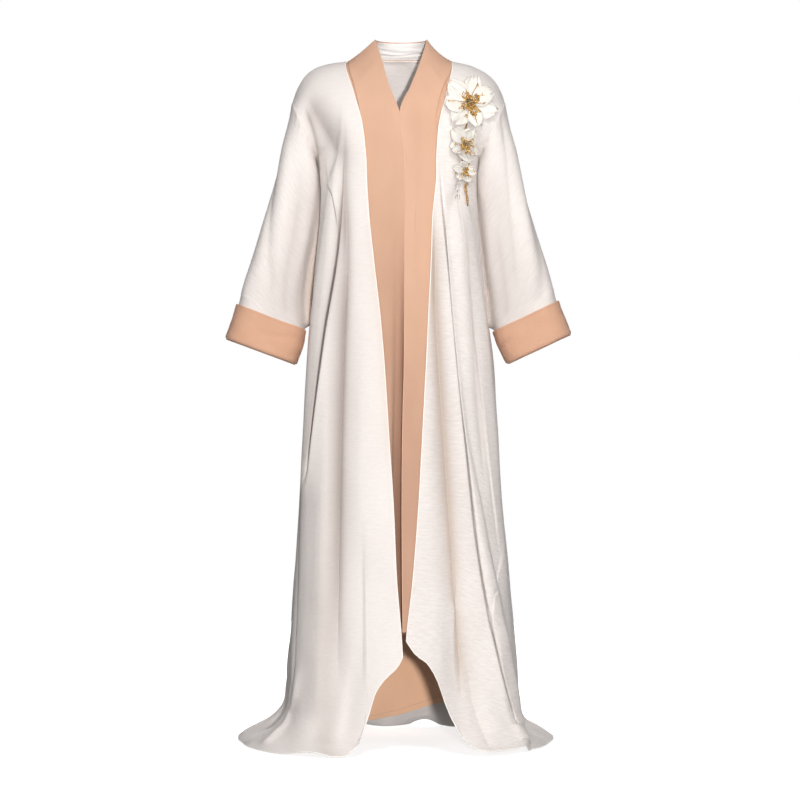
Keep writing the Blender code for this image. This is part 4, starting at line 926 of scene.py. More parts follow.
# Creases beside the big folds: five points of a line down the cloth, which side of it is raised
# (-1 the centre's, 1 the outer one, 0 for a soft ridge or trough), how high, how far it reaches,
# how wide the step at its lip is (for a trough, how rounded its bottom is), and over what length it
# grows from the top and dies away below.
CREASE_POINTS = 5
CREASE_COLUMNS = "x0 z0 x1 z1 x2 z2 x3 z3 x4 z4 raised height reach lip grow die"
CREASES = {
    "right": table(CREASE_COLUMNS, [
        (-0.1148, -0.190, -0.1175, -0.290, -0.1255, -0.400, -0.1534, -0.573, -0.1940, -0.900,
         -1, 0.0100, 0.024, 0.0026, 0.32, 0.12),
        (-0.1540, -0.205, -0.1480, -0.245, -0.1430, -0.268, -0.1330, -0.318, -0.1230, -0.385,
         -1, 0.0024, 0.010, 0.0030, 0.06, 0.06),
        (-0.1120, -0.110, -0.1125, -0.190, -0.1130, -0.270, -0.1135, -0.360, -0.1140, -0.450,
         0, -0.0030, 0.0120, 1.50, 0.12, 0.12),
        (-0.1190, -0.200, -0.1090, -0.320, -0.1148, -0.620, -0.1209, -0.868, -0.1255, -1.310,
         0, -0.0150, 0.0150, 0.10, 0.35, 0.26),
        (-0.0760, -0.930, -0.0755, -1.040, -0.0750, -1.120, -0.0745, -1.200, -0.0740, -1.310,
         0, -0.0028, 0.010, 0.40, 0.15, 0.10),
        (-0.1980, -0.060, -0.1790, -0.099, -0.1640, -0.126, -0.1400, -0.168, -0.1230, -0.250,
         0, -0.0070, 0.022, 1.50, 0.05, 0.10),
        (-0.1480, -0.560, -0.1500, -0.760, -0.1540, -0.960, -0.1600, -1.150, -0.1680, -1.380,
         0, 0.0050, 0.020, 0.0, 0.15, 0.08),
        (-0.1960, -0.800, -0.2020, -0.960, -0.2060, -1.080, -0.2100, -1.200, -0.2200, -1.370,
         0, -0.0050, 0.014, 0.40, 0.15, 0.06),
        (-0.1720, -0.400, -0.1850, -0.520, -0.1920, -0.640, -0.1990, -0.760, -0.2060, -0.900,
         0, -0.0060, 0.013, 0.40, 0.12, 0.10),
        (-0.2040, -1.230, -0.2160, -1.330, -0.2340, -1.375, -0.2560, -1.395, -0.2800, -1.412,
         0, 0.0060, 0.013, 0.0, 0.06, 0.01),
        (-0.1000, -1.150, -0.1080, -1.260, -0.1180, -1.320, -0.1320, -1.370, -0.1500, -1.410,
         0, 0.0050, 0.016, 0.0, 0.10, 0.02),
        (-0.2010, -0.090, -0.1870, -0.125, -0.1760, -0.160, -0.1690, -0.200, -0.1640, -0.290,
         0, -0.0015, 0.0080, 1.00, 0.04, 0.08),
    ]),
    "left": table(CREASE_COLUMNS, [
        (0.0762, -0.200, 0.0985, -0.447, 0.1290, -0.768, 0.1696, -1.099, 0.2400, -1.380,
         -1, 0.0080, 0.022, 0.0024, 0.22, 0.05),
        (0.1069, -0.230, 0.1370, -0.430, 0.1530, -0.590, 0.1740, -0.768, 0.2050, -1.050,
         1, 0.0036, 0.022, 0.0090, 0.12, 0.12),
        (0.2050, -0.980, 0.2030, -1.040, 0.1950, -1.083, 0.1867, -1.136, 0.1790, -1.190,
         1, 0.0026, 0.014, 0.0090, 0.08, 0.06),
        (0.0640, -0.280, 0.0741, -0.563, 0.0883, -0.786, 0.1026, -1.000, 0.1249, -1.330,
         0, -0.0110, 0.0150, 0.15, 0.14, 0.12),
        (0.0960, -0.880, 0.1010, -0.980, 0.1080, -1.080, 0.1170, -1.190, 0.1330, -1.330,
         0, 0.0040, 0.012, 0.0, 0.12, 0.08),
        (0.1320, -0.300, 0.1400, -0.420, 0.1480, -0.560, 0.1590, -0.740, 0.1760, -0.900,
         0, -0.0050, 0.011, 0.40, 0.12, 0.12),
        (0.1980, -1.180, 0.2080, -1.280, 0.2200, -1.340, 0.2400, -1.380, 0.2620, -1.412,
         0, 0.0056, 0.013, 0.0, 0.08, 0.01),
        (0.1300, -1.180, 0.1390, -1.270, 0.1500, -1.330, 0.1660, -1.375, 0.1840, -1.412,
         0, -0.0060, 0.014, 0.40, 0.10, 0.01),
        (0.1600, -0.150, 0.1420, -0.200, 0.1270, -0.235, 0.1130, -0.275, 0.1020, -0.340,
         0, -0.0060, 0.012, 0.40, 0.05, 0.06),
    ]),
    "back": table(CREASE_COLUMNS, [
        (-0.1500, -0.120, -0.1380, -0.300, -0.1320, -0.600, -0.1500, -0.950, -0.1900, -1.380,
         -1, 0.0080, 0.028, 0.0040, 0.20, 0.05),
        (-0.0700, -0.160, -0.0640, -0.400, -0.0700, -0.700, -0.0780, -1.000, -0.0900, -1.400,
         0, -0.0120, 0.018, 0.40, 0.25, 0.05),
        (0.0300, -0.260, 0.0260, -0.480, 0.0280, -0.720, 0.0340, -1.000, 0.0380, -1.400,
         0, -0.0100, 0.017, 0.40, 0.25, 0.05),
        (0.0860, -0.300, 0.0900, -0.520, 0.1020, -0.760, 0.1160, -1.020, 0.1500, -1.390,
         1, 0.0080, 0.026, 0.0040, 0.20, 0.05),
        (0.1480, -0.140, 0.1440, -0.320, 0.1520, -0.560, 0.1720, -0.840, 0.2050, -1.370,
         0, 0.0080, 0.018, 0.0, 0.20, 0.05),
        (-0.0200, -0.650, -0.0220, -0.850, -0.0260, -1.000, -0.0300, -1.180, -0.0340, -1.400,
         0, 0.0080, 0.018, 0.0, 0.20, 0.05),
        (-0.1900, -0.100, -0.1600, -0.125, -0.1250, -0.150, -0.0900, -0.165, -0.0500, -0.175,
         0, 0.0040, 0.014, 0.0, 0.02, 0.02),
        (0.1850, -0.105, 0.1550, -0.130, 0.1200, -0.158, 0.0850, -0.175, 0.0500, -0.190,
         0, 0.0040, 0.014, 0.0, 0.02, 0.02),
    ]),
}

# Soft folds of the sleeves: angle round the sleeve (degrees, 270 is the front and 360 the outer
# side) and ring at both ends, half width in degrees, and height.
SLEEVE_FOLD_COLUMNS = "angle0 ring0 angle1 ring1 width height"
SLEEVE_FOLDS = {
    "right": table(SLEEVE_FOLD_COLUMNS, [
        (358, 0.7, 274, 4.6, 9, -0.0052),
        (300, 1.6, 262, 5.4, 16, 0.0026),
        (256, 2.4, 246, 5.6, 11, -0.0026),
        (322, 4.4, 312, 6.8, 15, 0.0018),
        (214, 3.0, 224, 6.6, 12, -0.0020),
        (90, 0.5, 100, 5.5, 16, -0.0044),
        (60, 1.0, 52, 6.0, 14, 0.0036),
        (130, 1.6, 124, 6.4, 13, 0.0034),
        (20, 2.0, 26, 6.2, 10, -0.0026),
    ]),
    "left": table(SLEEVE_FOLD_COLUMNS, [
        (304, 0.5, 262, 4.2, 9, -0.0044),
        (352, 1.2, 300, 5.4, 13, -0.0038),
        (330, 1.2, 284, 5.0, 14, 0.0024),
        (244, 3.4, 236, 6.4, 12, -0.0022),
        (318, 5.0, 308, 6.8, 14, 0.0016),
        (88, 0.6, 80, 5.2, 16, -0.0042),
        (120, 1.0, 128, 6.0, 14, 0.0036),
        (50, 1.4, 58, 6.4, 12, 0.0034),
        (24, 2.4, 18, 6.0, 9, -0.0026),
    ]),
}


def lengths(points, axis):
    """Length run along each line of a grid of points."""
    steps = np.linalg.norm(np.diff(points, axis=axis), axis=2)
    pad = [(0, 0), (0, 0)]
    pad[axis] = (1, 0)
    return np.cumsum(np.pad(steps, pad), axis=axis)


def on_cloth(points):
    """Where each point of a sheet lies on the cloth, across it and down it."""
    return np.stack([lengths(points, 1), lengths(points, 0)], axis=-1)


def bell(value, middle, width):
    """1 at the middle, dying away over the width to both sides."""
    return np.exp(-((value - middle) / width)**2)


def blunt(value, bend):
    """How far a value is from 0, rounded off near 0."""
    return np.sqrt(value**2 + bend**2) - bend


def below(value, start, length):
    """0 above the start, 1 from the length below it on, and smooth between."""
    return ease((start - value) / length)


def above(value, start, length):
    """0 below the start, 1 from the length above it on, and smooth between."""
    return ease((value - start) / length)


def ripples(u, v, seed, long_u, long_v, count=9):
    """Uneven soft ripples, about -1 to 1, of the given lengths across and down the cloth."""
    rng = np.random.default_rng(seed)
    total = np.zeros(np.shape(u))
    for _ in range(count):
        along_u, along_v = rng.uniform(*RIPPLE_SPREAD, 2)
        turn, phase = rng.choice([-1.0, 1.0]), rng.uniform(0, 2 * math.pi)
        cycles = u / (long_u * along_u) + turn * v / (long_v * along_v)
        total += np.sin(2 * math.pi * cycles + phase)
    return total / math.sqrt(count * 2)


def crease_lines(points, sign, creases):
    """Where each crease crosses each row of a sheet, as a length across it from its first column,
    with the crease's strength there."""
    across = lengths(points, 1)
    x, z = points[..., 0], points[..., 2]
    found = []
    for crease in each(creases):
        path = np.array([(crease["z%d" % k], crease["x%d" % k]) for k in range(CREASE_POINTS)])
        path = path[np.argsort(path[:, 0])]
        low, high = path[0, 0], path[-1, 0]
        line = smooth(path[:, 0], path[:, 1], np.clip(z, low, high))
        away = sign * (x - line)
        at = np.array([np.interp(0, a, u) for a, u in zip(away, across)])
        level = np.array([np.interp(s, u, h) for s, u, h in zip(at, across, z)])
        found.append((at, below(level, high, crease["grow"]) * above(level, low, crease["die"])))
    return found


def crowded(points, lines, steps):
    """The rows of a sheet with their columns closer together at the creases."""
    across = lengths(points, 1)
    weight = np.ones(across.shape)
    for at, strength in lines:
        weight += CROWD * strength[:, None] * bell(across, at[:, None], CROWD_WIDTH)
    # Neighbouring rows share much of their spacing, so that the columns stay smooth.
    for _ in range(2):
        weight[1:-1] = (weight[:-2] + 2 * weight[1:-1] + weight[2:]) / 4
    share = np.cumsum(np.pad((weight[:, 1:] + weight[:, :-1]) / 2 * np.diff(across, axis=1),
                             ((0, 0), (1, 0))), axis=1)
    share /= share[:, -1:]
    even = steps_to_one(steps)
    rows = [np.stack([np.interp(even, s, row[:, k]) for k in range(3)], axis=-1)
            for s, row in zip(share, points)]
    return np.array(rows)


def crease_height(points, lines, creases, sharper=1.0):
    """How far the creases move a sheet out. A trough's inner side is sharper than its outer one."""
    across = lengths(points, 1)
    total = np.zeros(across.shape)
    for (at, strength), crease in zip(lines, each(creases)):
        away = across - at[:, None]
        height, reach, raised, lip = (crease[name] for name in ("height", "reach", "raised", "lip"))
        if raised == 0 and height > 0:
            total += strength[:, None] * height * bell(away, 0, reach)
            continue
        if raised == 0:
            reach = np.where(away < 0, reach * sharper, reach)
            total += strength[:, None] * height * np.exp(-blunt(away / reach, lip))
            continue
        up = raised * away
        step = ease(up / lip + 0.5)
        lifted = height * np.exp(-np.maximum(up, 0) / reach)
        sunk = -GROOVE * height * np.exp(-np.maximum(-up, 0) / (GROOVE_REACH * reach))
        deep = SLOT_DEPTH if lip < SHARP_LIP else 0.0
        slot = -deep * (height / COMMON_LIP) * bell(up, -SLOT_AT, SLOT_WIDTH)
        total += strength[:, None] * (sunk + (lifted - sunk) * step + slot)
    return total


def crease_shade(points, lines, shades):
    """How much painted shade the cloth gets in its creases, from 0 to 1, wider towards the floor."""
    across, z = lengths(points, 1), points[..., 2]
    wider = SHADE_WIDTH + SHADE_WIDER * ease(-z / SHADE_WIDER_DOWN)
    total = np.zeros(across.shape)
    for index, most, outer, inner in shades:
        at, strength = lines[index]
        away = across - at[:, None]
        reach = np.where(away > 0, outer, inner) * wider
        total += most * strength[:, None] * np.exp(-blunt(away / reach, SHADE_BEND))
    return np.clip(total, 0, CREASE_DARKEST) * (1 - PALER * below(z, *PALER_FROM))


def toned(cloth, peach_bounce_shade, shade):
    """The cloth's coordinates, with the painted warm shade there (as if lit by light bounced off the
    peach) and the painted shade.
    """
    return np.concatenate([cloth, peach_bounce_shade[..., None], shade[..., None]], axis=-1)


def on_floor(points):
    """The sheet kept above the floor."""
    points[..., 2] = np.maximum(points[..., 2], LEAST_LIFT - CARRY_HEIGHT)
    return points


def low_crinkle(points, seed):
    """Slubby crinkles that slant down outwards, stronger towards the floor."""
    u, v = lengths(points, 1), lengths(points, 0)
    slant = v - CRINKLE_SLANT * u
    strength = CRINKLE_TOP + (1 - CRINKLE_TOP) * below(points[..., 2], *CRINKLE_GROWS)
    fine = ripples(u, slant, seed, *FINE_CRINKLE)
    return strength * (fine + COARSE_SHARE * ripples(u, slant, seed + 1, *COARSE_CRINKLE)) * CRINKLE


# The trough beside the lapped edge: how deep and wide it is, from place to place below the neck.
LAP_TROUGH = table("down depth width", [
    (0.30, 0.0, 0.018), (0.50, 0.006, 0.016), (0.75, 0.018, 0.012), (0.90, 0.028, 0.0090),
    (1.17, 0.026, 0.0080),
])
TROUGH_PLACE = 0.0035      # its x
TROUGH_BEND = 0.3          # how rounded its bottom is, in its widths
STEEP_SIDE = 0.0050        # reach of its steep side, beside the lap
TROUGH_CROWDED = (-0.35, 0.3)    # where the columns come closer together at it
BEHIND = 0.0026            # how far an inner front stays behind the outer one that covers it
FINDER_START = -1.0        # a y in front of the whole garment
# Soft drags beside the collar: height, how far down they start, their slope and their width.
DRAGS = ((1.0, 0.055, 0.55, 0.010), (-0.7, 0.090, 0.60, 0.013))
DRAGS_AT = (0.040, 0.024)  # how far across the lapel they lie, and how wide
DRAG_HEIGHT = 0.0011       # in metres, for a drag of height 1

# Heights and places at which something sets in, each with the length over which it grows.
SQUARE_FROM = (-0.12, 0.20)      # the fuller outer part of a front
CORNER_FROM = (-1.22, 0.10)      # the calmer corner of its hem
CRINKLE_CORNER = (-1.20, 0.05)   # and its weaker crinkle
BOUNCE_SHADE_FROM, BOUNCE_SHADE_UNTIL = (-0.30, 0.15), (-0.95, 0.25)    # the painted warm shade along its free edge
LOWER_FROM = (-0.88, 0.45)       # the painted shade on its lower part
FLAT_FRONT, FLAT_FROM = (-0.015, 0.07), (-0.20, 0.18)    # the flatter part, by its y and its z
AHEAD_FROM = (0.25, 0.4)         # how far cloth faces the front where creases move it forward
EDGE_CALM, CORNER_CALM = 0.012, 0.035    # how wide the calm strip at the free edge is, and more
CRINKLE_CALM = 0.03              # at the hem's corner
BACK_CALM = 0.03                 # and along both side seams of the back

# Heights of the broad soft ripples, and their lengths across and down the cloth.
SWELL = 0.0011             # of the outer cloth
FRONT_SWELL, BACK_SWELL = (0.11, 0.42), (0.13, 0.45)
INNER_SWELL, INNER_LENGTHS = 0.0004, (0.05, 0.22)
INNER_BACK_SWELL, INNER_BACK_LENGTHS = 0.0016, (0.10, 0.40)
SLEEVE_SWELL, SLEEVE_LENGTHS = 0.0008, (0.09, 0.20)
CUFF_SWELL, CUFF_LENGTHS = 0.0007, (0.07, 0.035)
FACING_LENGTHS = (0.16, 0.011)

# The slubby crinkle: its height, slant and lengths, and how weak it is at the top.
CRINKLE, CRINKLE_SLANT, CRINKLE_TOP = 0.00024, 0.32, 0.35
CRINKLE_GROWS = (-0.45, 0.5)    # from this height down, over this length
FINE_CRINKLE, COARSE_CRINKLE, COARSE_SHARE = (0.050, 0.0085), (0.035, 0.017), 0.7
# And the sleeves': its slant, its share of that height, and its lengths.
SLEEVE_SLANT, SLEEVE_CRINKLE, SLEEVE_CRINKLE_LENGTHS = 0.35, 0.8, (0.06, 0.010)

# How much painted warm shade, as if lit by light bounced off the peach, lies along the free edges and in
# the long troughs.
EDGE_BOUNCE_SHADE = dict(right=0.45, left=0.15)
VALLEY_BOUNCE_SHADE = dict(right=0.0, left=0.6)
EDGE_BOUNCE_SHADE_WIDTH, VALLEY_BOUNCE_SHADE_WIDTH = 0.009, 0.013
VALLEY = dict(right=3, left=3)    # the long soft trough of each front, by its place in the table
# The cloth is fuller on the outer side of that trough: where, how far, and how much.
FULLER_AT, FULLER_REACH = 0.010, 0.036
FULLER = dict(right=0.004, left=0.002)
SHARPER = dict(right=0.5, left=0.7)    # how much sharper the inner sides of the troughs are
# The outer part of a front comes this far forward, between these shares of the body's half width.
FLATTER = dict(right=(0.42, 0.92, 0.026), left=(0.58, 0.95, 0.020))
HEM_FROM = 0.72            # the share of the rows that don't yet bend to the hem
STROKES = dict(right=0.4, left=1.0)    # how strong the crinkle of each front is
# Soft dents of the cuffs: place round and down the cuff, slope, depth, width and length.
CUFF_DENTS = dict(
    right=[(0.29, 0.030, 0.25, -0.0034, 0.0045, 0.030), (0.25, 0.040, 0.10, 0.0016, 0.008, 0.040),
           (0.235, 0.020, -0.3, -0.0012, 0.004, 0.018)],
    left=[(0.255, 0.034, -0.25, -0.0030, 0.0045, 0.028), (0.30, 0.026, -0.1, 0.0016, 0.008, 0.036)])
FRONT_SQUARE, SQUARE_AT = 0.007, (0.60, 0.22)    # how much fuller the outer part of a front is
SLEEVE_SQUARE, SQUARE_GROWS = 0.008, 1.2    # how much squarer than an oval a sleeve is

# Sleeves, with lengths along them counted in rings. A fold fades in and out over FOLD_FADE.
SLEEVE_FOLD_IN, SLEEVE_FOLD_OUT, FOLD_FADE = -0.25, 1.25, 0.35
FOLD_BEND, FOLD_RISE = 0.2, 0.45    # how rounded a trough's bottom is
FOLD_SHADE_WIDTH, INNER_SHARE = 0.8, 0.6    # its shade in its widths, and less on the inner side
CALM_RINGS = (0.25, 0.5)   # folds are calmed this far from the armhole and from the cuff
# The gathers at the armhole: height, how far down they reach, how many, and how unevenly they lie.
GATHER, GATHER_REACH, GATHERS, UNEVEN, UNEVEN_TURNS = 0.0005, 0.22, 17, 1.3, 5
# The inner side of a sleeve's back reaches towards the body: where round the sleeve and how far.
FILL_ANGLE, FILL_WIDTH, FILL = 164, 20, 0.022
FILL_TOP, FILL_END, FILL_FADE = 0.9, 0.02, 0.28
FILL_BOUNCE_SHADE = 0.9            # how much painted warm shade it gets

# How much painted shade the creases get: which crease, how much, and how far it reaches outwards and
# inwards.
SHADES = dict(
    right=[(0, 0.42, 0.0050, 0.0016), (0, 0.26, 0.0160, 0.0020), (1, 0.30, 0.0040, 0.0020),
           (2, 0.45, 0.0090, 0.0110), (3, 0.60, 0.0210, 0.0095), (4, 0.12, 0.0050, 0.0080),
           (5, 0.50, 0.0190, 0.0290), (11, 0.48, 0.0070, 0.0090)],
    left=[(0, 0.32, 0.0026, 0.0016), (1, 0.16, 0.0100, 0.0080), (3, 0.36, 0.0130, 0.0180),
          (5, 0.20, 0.0090, 0.0070), (7, 0.14, 0.0120, 0.0120), (8, 0.22, 0.0100, 0.0080)])
SHADE_WIDTH, SHADE_WIDER, SHADE_WIDER_DOWN = 0.65, 0.6, 1.2    # of those reaches, down to here
SHADE_BEND = 0.2           # how flat the middle of a dark line is
CREASE_DARKEST = 0.85      # no crease is darker
PALER, PALER_FROM = 0.45, (-0.85, 0.35)    # how much paler they are near the hem
# Painted shade: how much darker the strips are near their hem, from which depth on and over what length,
# and how much darker the fronts are there, where across the body, and how wide.
STRIP_SHADE = dict(right=(0.25, 0.05, 0.6), left=(0.25, 0.35, 0.55))
LOWER_SHADE = dict(right=(0.30, 0.150, 0.030), left=(0.07, 0.085, 0.060))
# The painted shade of the right strip beside the lap: how dark, its x, its width to both sides, and how
# much wider it gets towards the floor.
LAP_SHADE, LAP_SHADE_X, LAP_SHADE_FROM = 0.80, -0.001, (-0.30, 0.55)
LAP_SHADE_WIDTHS, LAP_SHADE_WIDER, LAP_WIDER_FROM = (0.006, 0.004), 0.005, (-0.75, 0.3)
STRIP_DARKEST = 0.8        # no part of a strip is darker
SLEEVE_SHADE, SLEEVE_DARKEST = 0.13, 0.6    # how much painted shade the creases of the sleeves get
SLEEVE_LOWER_SHADE, SLEEVE_LOWER_FROM = 0.07, (2.5, 2.5)    # and more painted shade from this ring on
# Painted shade: the side of a sleeve's front that faces the body is darker between these heights.
SLEEVE_INNER_SHADE, INNER_FROM, INNER_UNTIL = 0.22, (-0.18, 0.14), (-0.66, 0.14)
INWARD = (0.5, 1.1)        # how far it turns from facing outwards


def even_front_points(side, steps):
    """The points of an outer front, its rows level until they near the hem."""
    across = steps_to_one(steps[0])
    rows = front_rows(side, across)
    knots = body_knots()
    hem = hem_level(HEM_RIGHT if side == "right" else HEM_LEFT, SIDES[side]["sign"])
    bottoms = cut_down(knots, rows, hem)
    bottoms[-1] = knots[-1]
    down = spacing(steps[1])
    turn = HEM_FROM * knots[-1]
    columns = [smooth(knots, rows[:, j], np.interp(down, (0, HEM_FROM, 1), (0, turn, bottom)))
               for j, bottom in enumerate(bottoms)]
    points = hold_seam(np.stack(columns, axis=1), knots, down, side, -1, -1, across**FRONT_HOLD)
    points = tucked(folded(points, front_fold_height(side, points[..., 0], points[..., 2])))
    # The outer part hangs flatter than the body's round form.
    start, end, most = FLATTER[side]
    wide = np.abs(points[..., 0]) / np.abs(points[..., 0]).max(axis=1, keepdims=True)
    shape = above(wide, start, end - start) * below(points[..., 1], *FLAT_FRONT)
    points[..., 1] -= most * shape * below(points[..., 2], *FLAT_FROM)
    return points


def ahead(points):
    """Which way the creases move the cloth: forward where it faces the front."""
    normal = outward(points)
    share = above(-normal[..., 1:2], *AHEAD_FROM)
    return normal * (1 - share) + np.array([0.0, -1.0, 0.0]) * share


def fine_front(side):
    """The fine points of an outer front, and where each lies on the cloth."""
    sign, creases = SIDES[side]["sign"], CREASES[side]
    points = even_front_points(side, (FINE_FRONT[0] * DENSE, FINE_FRONT[1]))
    points = crowded(points, crease_lines(points, sign, creases), FINE_FRONT[0])
    lines = crease_lines(points, sign, creases)
    cloth = on_cloth(points)
    u, v, z = cloth[..., 0], cloth[..., 1], points[..., 2]
    at, strength = lines[VALLEY[side]]
    away, strength = u - at[:, None], strength[:, None]
    height = crease_height(points, lines, creases, SHARPER[side])
    height = height + SWELL * ripples(u, v, SEEDS["front"] + int(sign), *FRONT_SWELL)
    height = height + FRONT_SQUARE * bell(u / u[:, -1:], *SQUARE_AT) * below(z, *SQUARE_FROM)
    height = height + FULLER[side] * strength * bell(away, FULLER_AT, FULLER_REACH)
    height = height * ease(u / (EDGE_CALM + CORNER_CALM * below(z, *CORNER_FROM)))
    crinkle = low_crinkle(points, SEEDS["front_crinkle"] + int(sign))
    crinkle = crinkle * (1 - (1 - ease(u / CRINKLE_CALM)) * below(z, *CRINKLE_CORNER))
    height = height + STROKES[side] * crinkle
    # Painted warm shade, as if lit by light bounced off the peach: along the free edge, and in the long
    # trough.
    glow = below(z, *BOUNCE_SHADE_FROM) * above(z, *BOUNCE_SHADE_UNTIL)
    peach_bounce_shade = EDGE_BOUNCE_SHADE[side] * np.exp(-u / EDGE_BOUNCE_SHADE_WIDTH) * glow
    peach_bounce_shade = peach_bounce_shade + VALLEY_BOUNCE_SHADE[side] * strength * bell(away, 0, VALLEY_BOUNCE_SHADE_WIDTH)
    # Painted shade: darker in the creases and, across part of the body, towards the hem.
    most, place, width = LOWER_SHADE[side]
    lower = most * bell(np.abs(points[..., 0]), place, width)
    shade = crease_shade(points, lines, SHADES[side]) + lower * below(z, *LOWER_FROM)
    return on_floor(points + ahead(points) * height[..., None]), toned(cloth, peach_bounce_shade, shade)


def fine_back():
    """The fine points of the back, and where each lies on the cloth."""
    creases = CREASES["back"]
    points = back_points((FINE_BACK[0] * 2, FINE_BACK[1]))
    points = crowded(points, crease_lines(points, 1, creases), FINE_BACK[0])
    cloth = on_cloth(points)
    u, v = cloth[..., 0], cloth[..., 1]
    calm = ease(u / BACK_CALM) * ease((u[:, -1:] - u) / BACK_CALM)
    height = crease_height(points, crease_lines(points, 1, creases), creases)
    height = height + SWELL * ripples(u, v, SEEDS["back"], *BACK_SWELL)
    height = height * calm + low_crinkle(points, SEEDS["back_crinkle"])
    return on_floor(points + outward(points) * height[..., None]), cloth


def kept_behind(points, cover):
    """The points moved back where they would show through the sheet in front of them."""
    down, across = cover.shape[:2]
    start = (np.arange(down - 1)[:, None] * across + np.arange(across - 1)).ravel()
    quads = np.stack([start, start + 1, start + across + 1, start + across], axis=1)
    tree = BVHTree.FromPolygons(cover.reshape(-1, 3).tolist(), quads.tolist())
    for row in points:
        hits = []
        for point in row:
            start = Vector((point[0], FINDER_START, point[2]))
            hit = tree.ray_cast(start, Vector((0, 1, 0)))[0]
            hits.append(hit.y + BEHIND if hit else FINDER_START)
        near = np.pad(hits, 2, mode="edge")
        deepest = np.max([near[k:k + len(hits)] for k in range(5)], axis=0)
        covered = np.array(hits) > FINDER_START
        row[:, 1] = np.maximum(row[:, 1], np.where(covered, deepest, FINDER_START))
    return points


def fine_inner_front(side, cover):
    """The fine points of an inner front: nearly smooth cloth, with soft drags beside the collar. The
    right one has a trough beside the edge that laps over it."""
    lapped = side == "right"
    steps = FINE_INNER_FRONT
    points = inner_front_points(side, (steps[0] * 2, steps[1]))
    if lapped:
        at = np.array([np.interp(0, row[:, 0] - TROUGH_PLACE, u)
                       for row, u in zip(points, lengths(points, 1))])
        points = crowded(points, [(at, below(points[:, 0, 2], *TROUGH_CROWDED))], steps[0])
    else:
        points = points[:, ::2]
    cloth = on_cloth(points)
    u, v = cloth[..., 0], cloth[..., 1]
    x, z = points[..., 0], points[..., 2]
    drags = sum(high * bell(v - start - slope * u, 0, wide) for high, start, slope, wide in DRAGS)
    height = DRAG_HEIGHT * (drags * bell(u, *DRAGS_AT))
    height = height + INNER_SWELL * ripples(u, v, SEEDS["inner_front"], *INNER_LENGTHS)
    # Painted shade: the strip is darker towards its hem.
    most, start, length = STRIP_SHADE[side]
    shade = most * below(z, -start, length)
    if lapped:
        depth, width = (np.interp(-z, LAP_TROUGH["down"], LAP_TROUGH[name]) for name in ("depth", "width"))
        away = x - TROUGH_PLACE
        wall = np.where(away < 0, width, STEEP_SIDE)
        height = height - depth * np.exp(-blunt(away / wall, TROUGH_BEND))
        # Painted shade: a dark line in the trough beside the lap.
        wide, narrow = LAP_SHADE_WIDTHS
        near = np.where(away < 0, wide + LAP_SHADE_WIDER * below(z, *LAP_WIDER_FROM), narrow)
        line = np.exp(-np.abs(away - LAP_SHADE_X) / near)
        shade = shade + LAP_SHADE * below(z, *LAP_SHADE_FROM) * line
    shade = np.clip(shade, 0, STRIP_DARKEST)
    return (kept_behind(points + outward(points) * height[..., None], cover),
            toned(cloth, np.zeros(z.shape), shade))


def fine_inner_back():
    """The fine points of the inner back, and where each lies on the cloth."""
    points = inner_back_points(FINE_INNER_BACK)
    cloth = on_cloth(points)
    height = INNER_BACK_SWELL * ripples(cloth[..., 0], cloth[..., 1], SEEDS["inner_back"],
                                        *INNER_BACK_LENGTHS)
    return points + outward(points) * height[..., None], cloth


def fine_collar(inset, top, bottom, wrinkles):
    """The stand or its facing. The facing has soft wrinkles along it."""
    points = collar_points(FINE_COLLAR, inset, top, bottom)
    cloth = on_cloth(points)
    swell = ripples(cloth[..., 0], cloth[..., 1], SEEDS["facing"], *FACING_LENGTHS)
    height = wrinkles * swell * np.sin(math.pi * np.linspace(0, 1, len(points)))[:, None]
    return points + outward(points) * height[..., None], cloth


def sleeve_cloth(points):
    """Where each point of a tube of cloth lies, round it and down it."""
    ring = np.concatenate([points, points[:, :1]], axis=1)
    return np.stack([lengths(ring, 1)[:, :-1], lengths(points, 0)], axis=-1)


def squared(angles):
    """How much fuller than an oval a sleeve or cuff is at each angle round it."""
    return SLEEVE_SQUARE * np.sin(2 * np.radians(angles))[None, :]**2


def turned(angle):
    """An angle in degrees, between -180 and 180."""
    return (angle + 180) % 360 - 180


def sleeve_folds(side, places, angles):
    """How far a sleeve's folds move it out, and how much painted shade they get, at each place and angle.
    """
    height, shade = np.zeros((2, len(places), len(angles)))
    for f in each(SLEEVE_FOLDS[side]):
        along = (places - f["ring0"]) / (f["ring1"] - f["ring0"])
        line = f["angle0"] + (f["angle1"] - f["angle0"]) * np.clip(along, 0, 1)
        away = turned(angles[None, :] - line[:, None])
        fade = above(along, SLEEVE_FOLD_IN, FOLD_FADE) * below(along, SLEEVE_FOLD_OUT, FOLD_FADE)
        shape = bell(away, 0, f["width"])
        if f["height"] < 0:
            shape = np.exp(-np.sqrt((away / f["width"])**2 + FOLD_BEND) + FOLD_RISE)
            soft = np.where(away < 0, 1.0, INNER_SHARE) * f["width"] * FOLD_SHADE_WIDTH
            shade += (fade * SLEEVE_SHADE)[:, None] * np.exp(-np.abs(away) / soft)
        height += (fade * f["height"])[:, None] * shape
    return height, shade


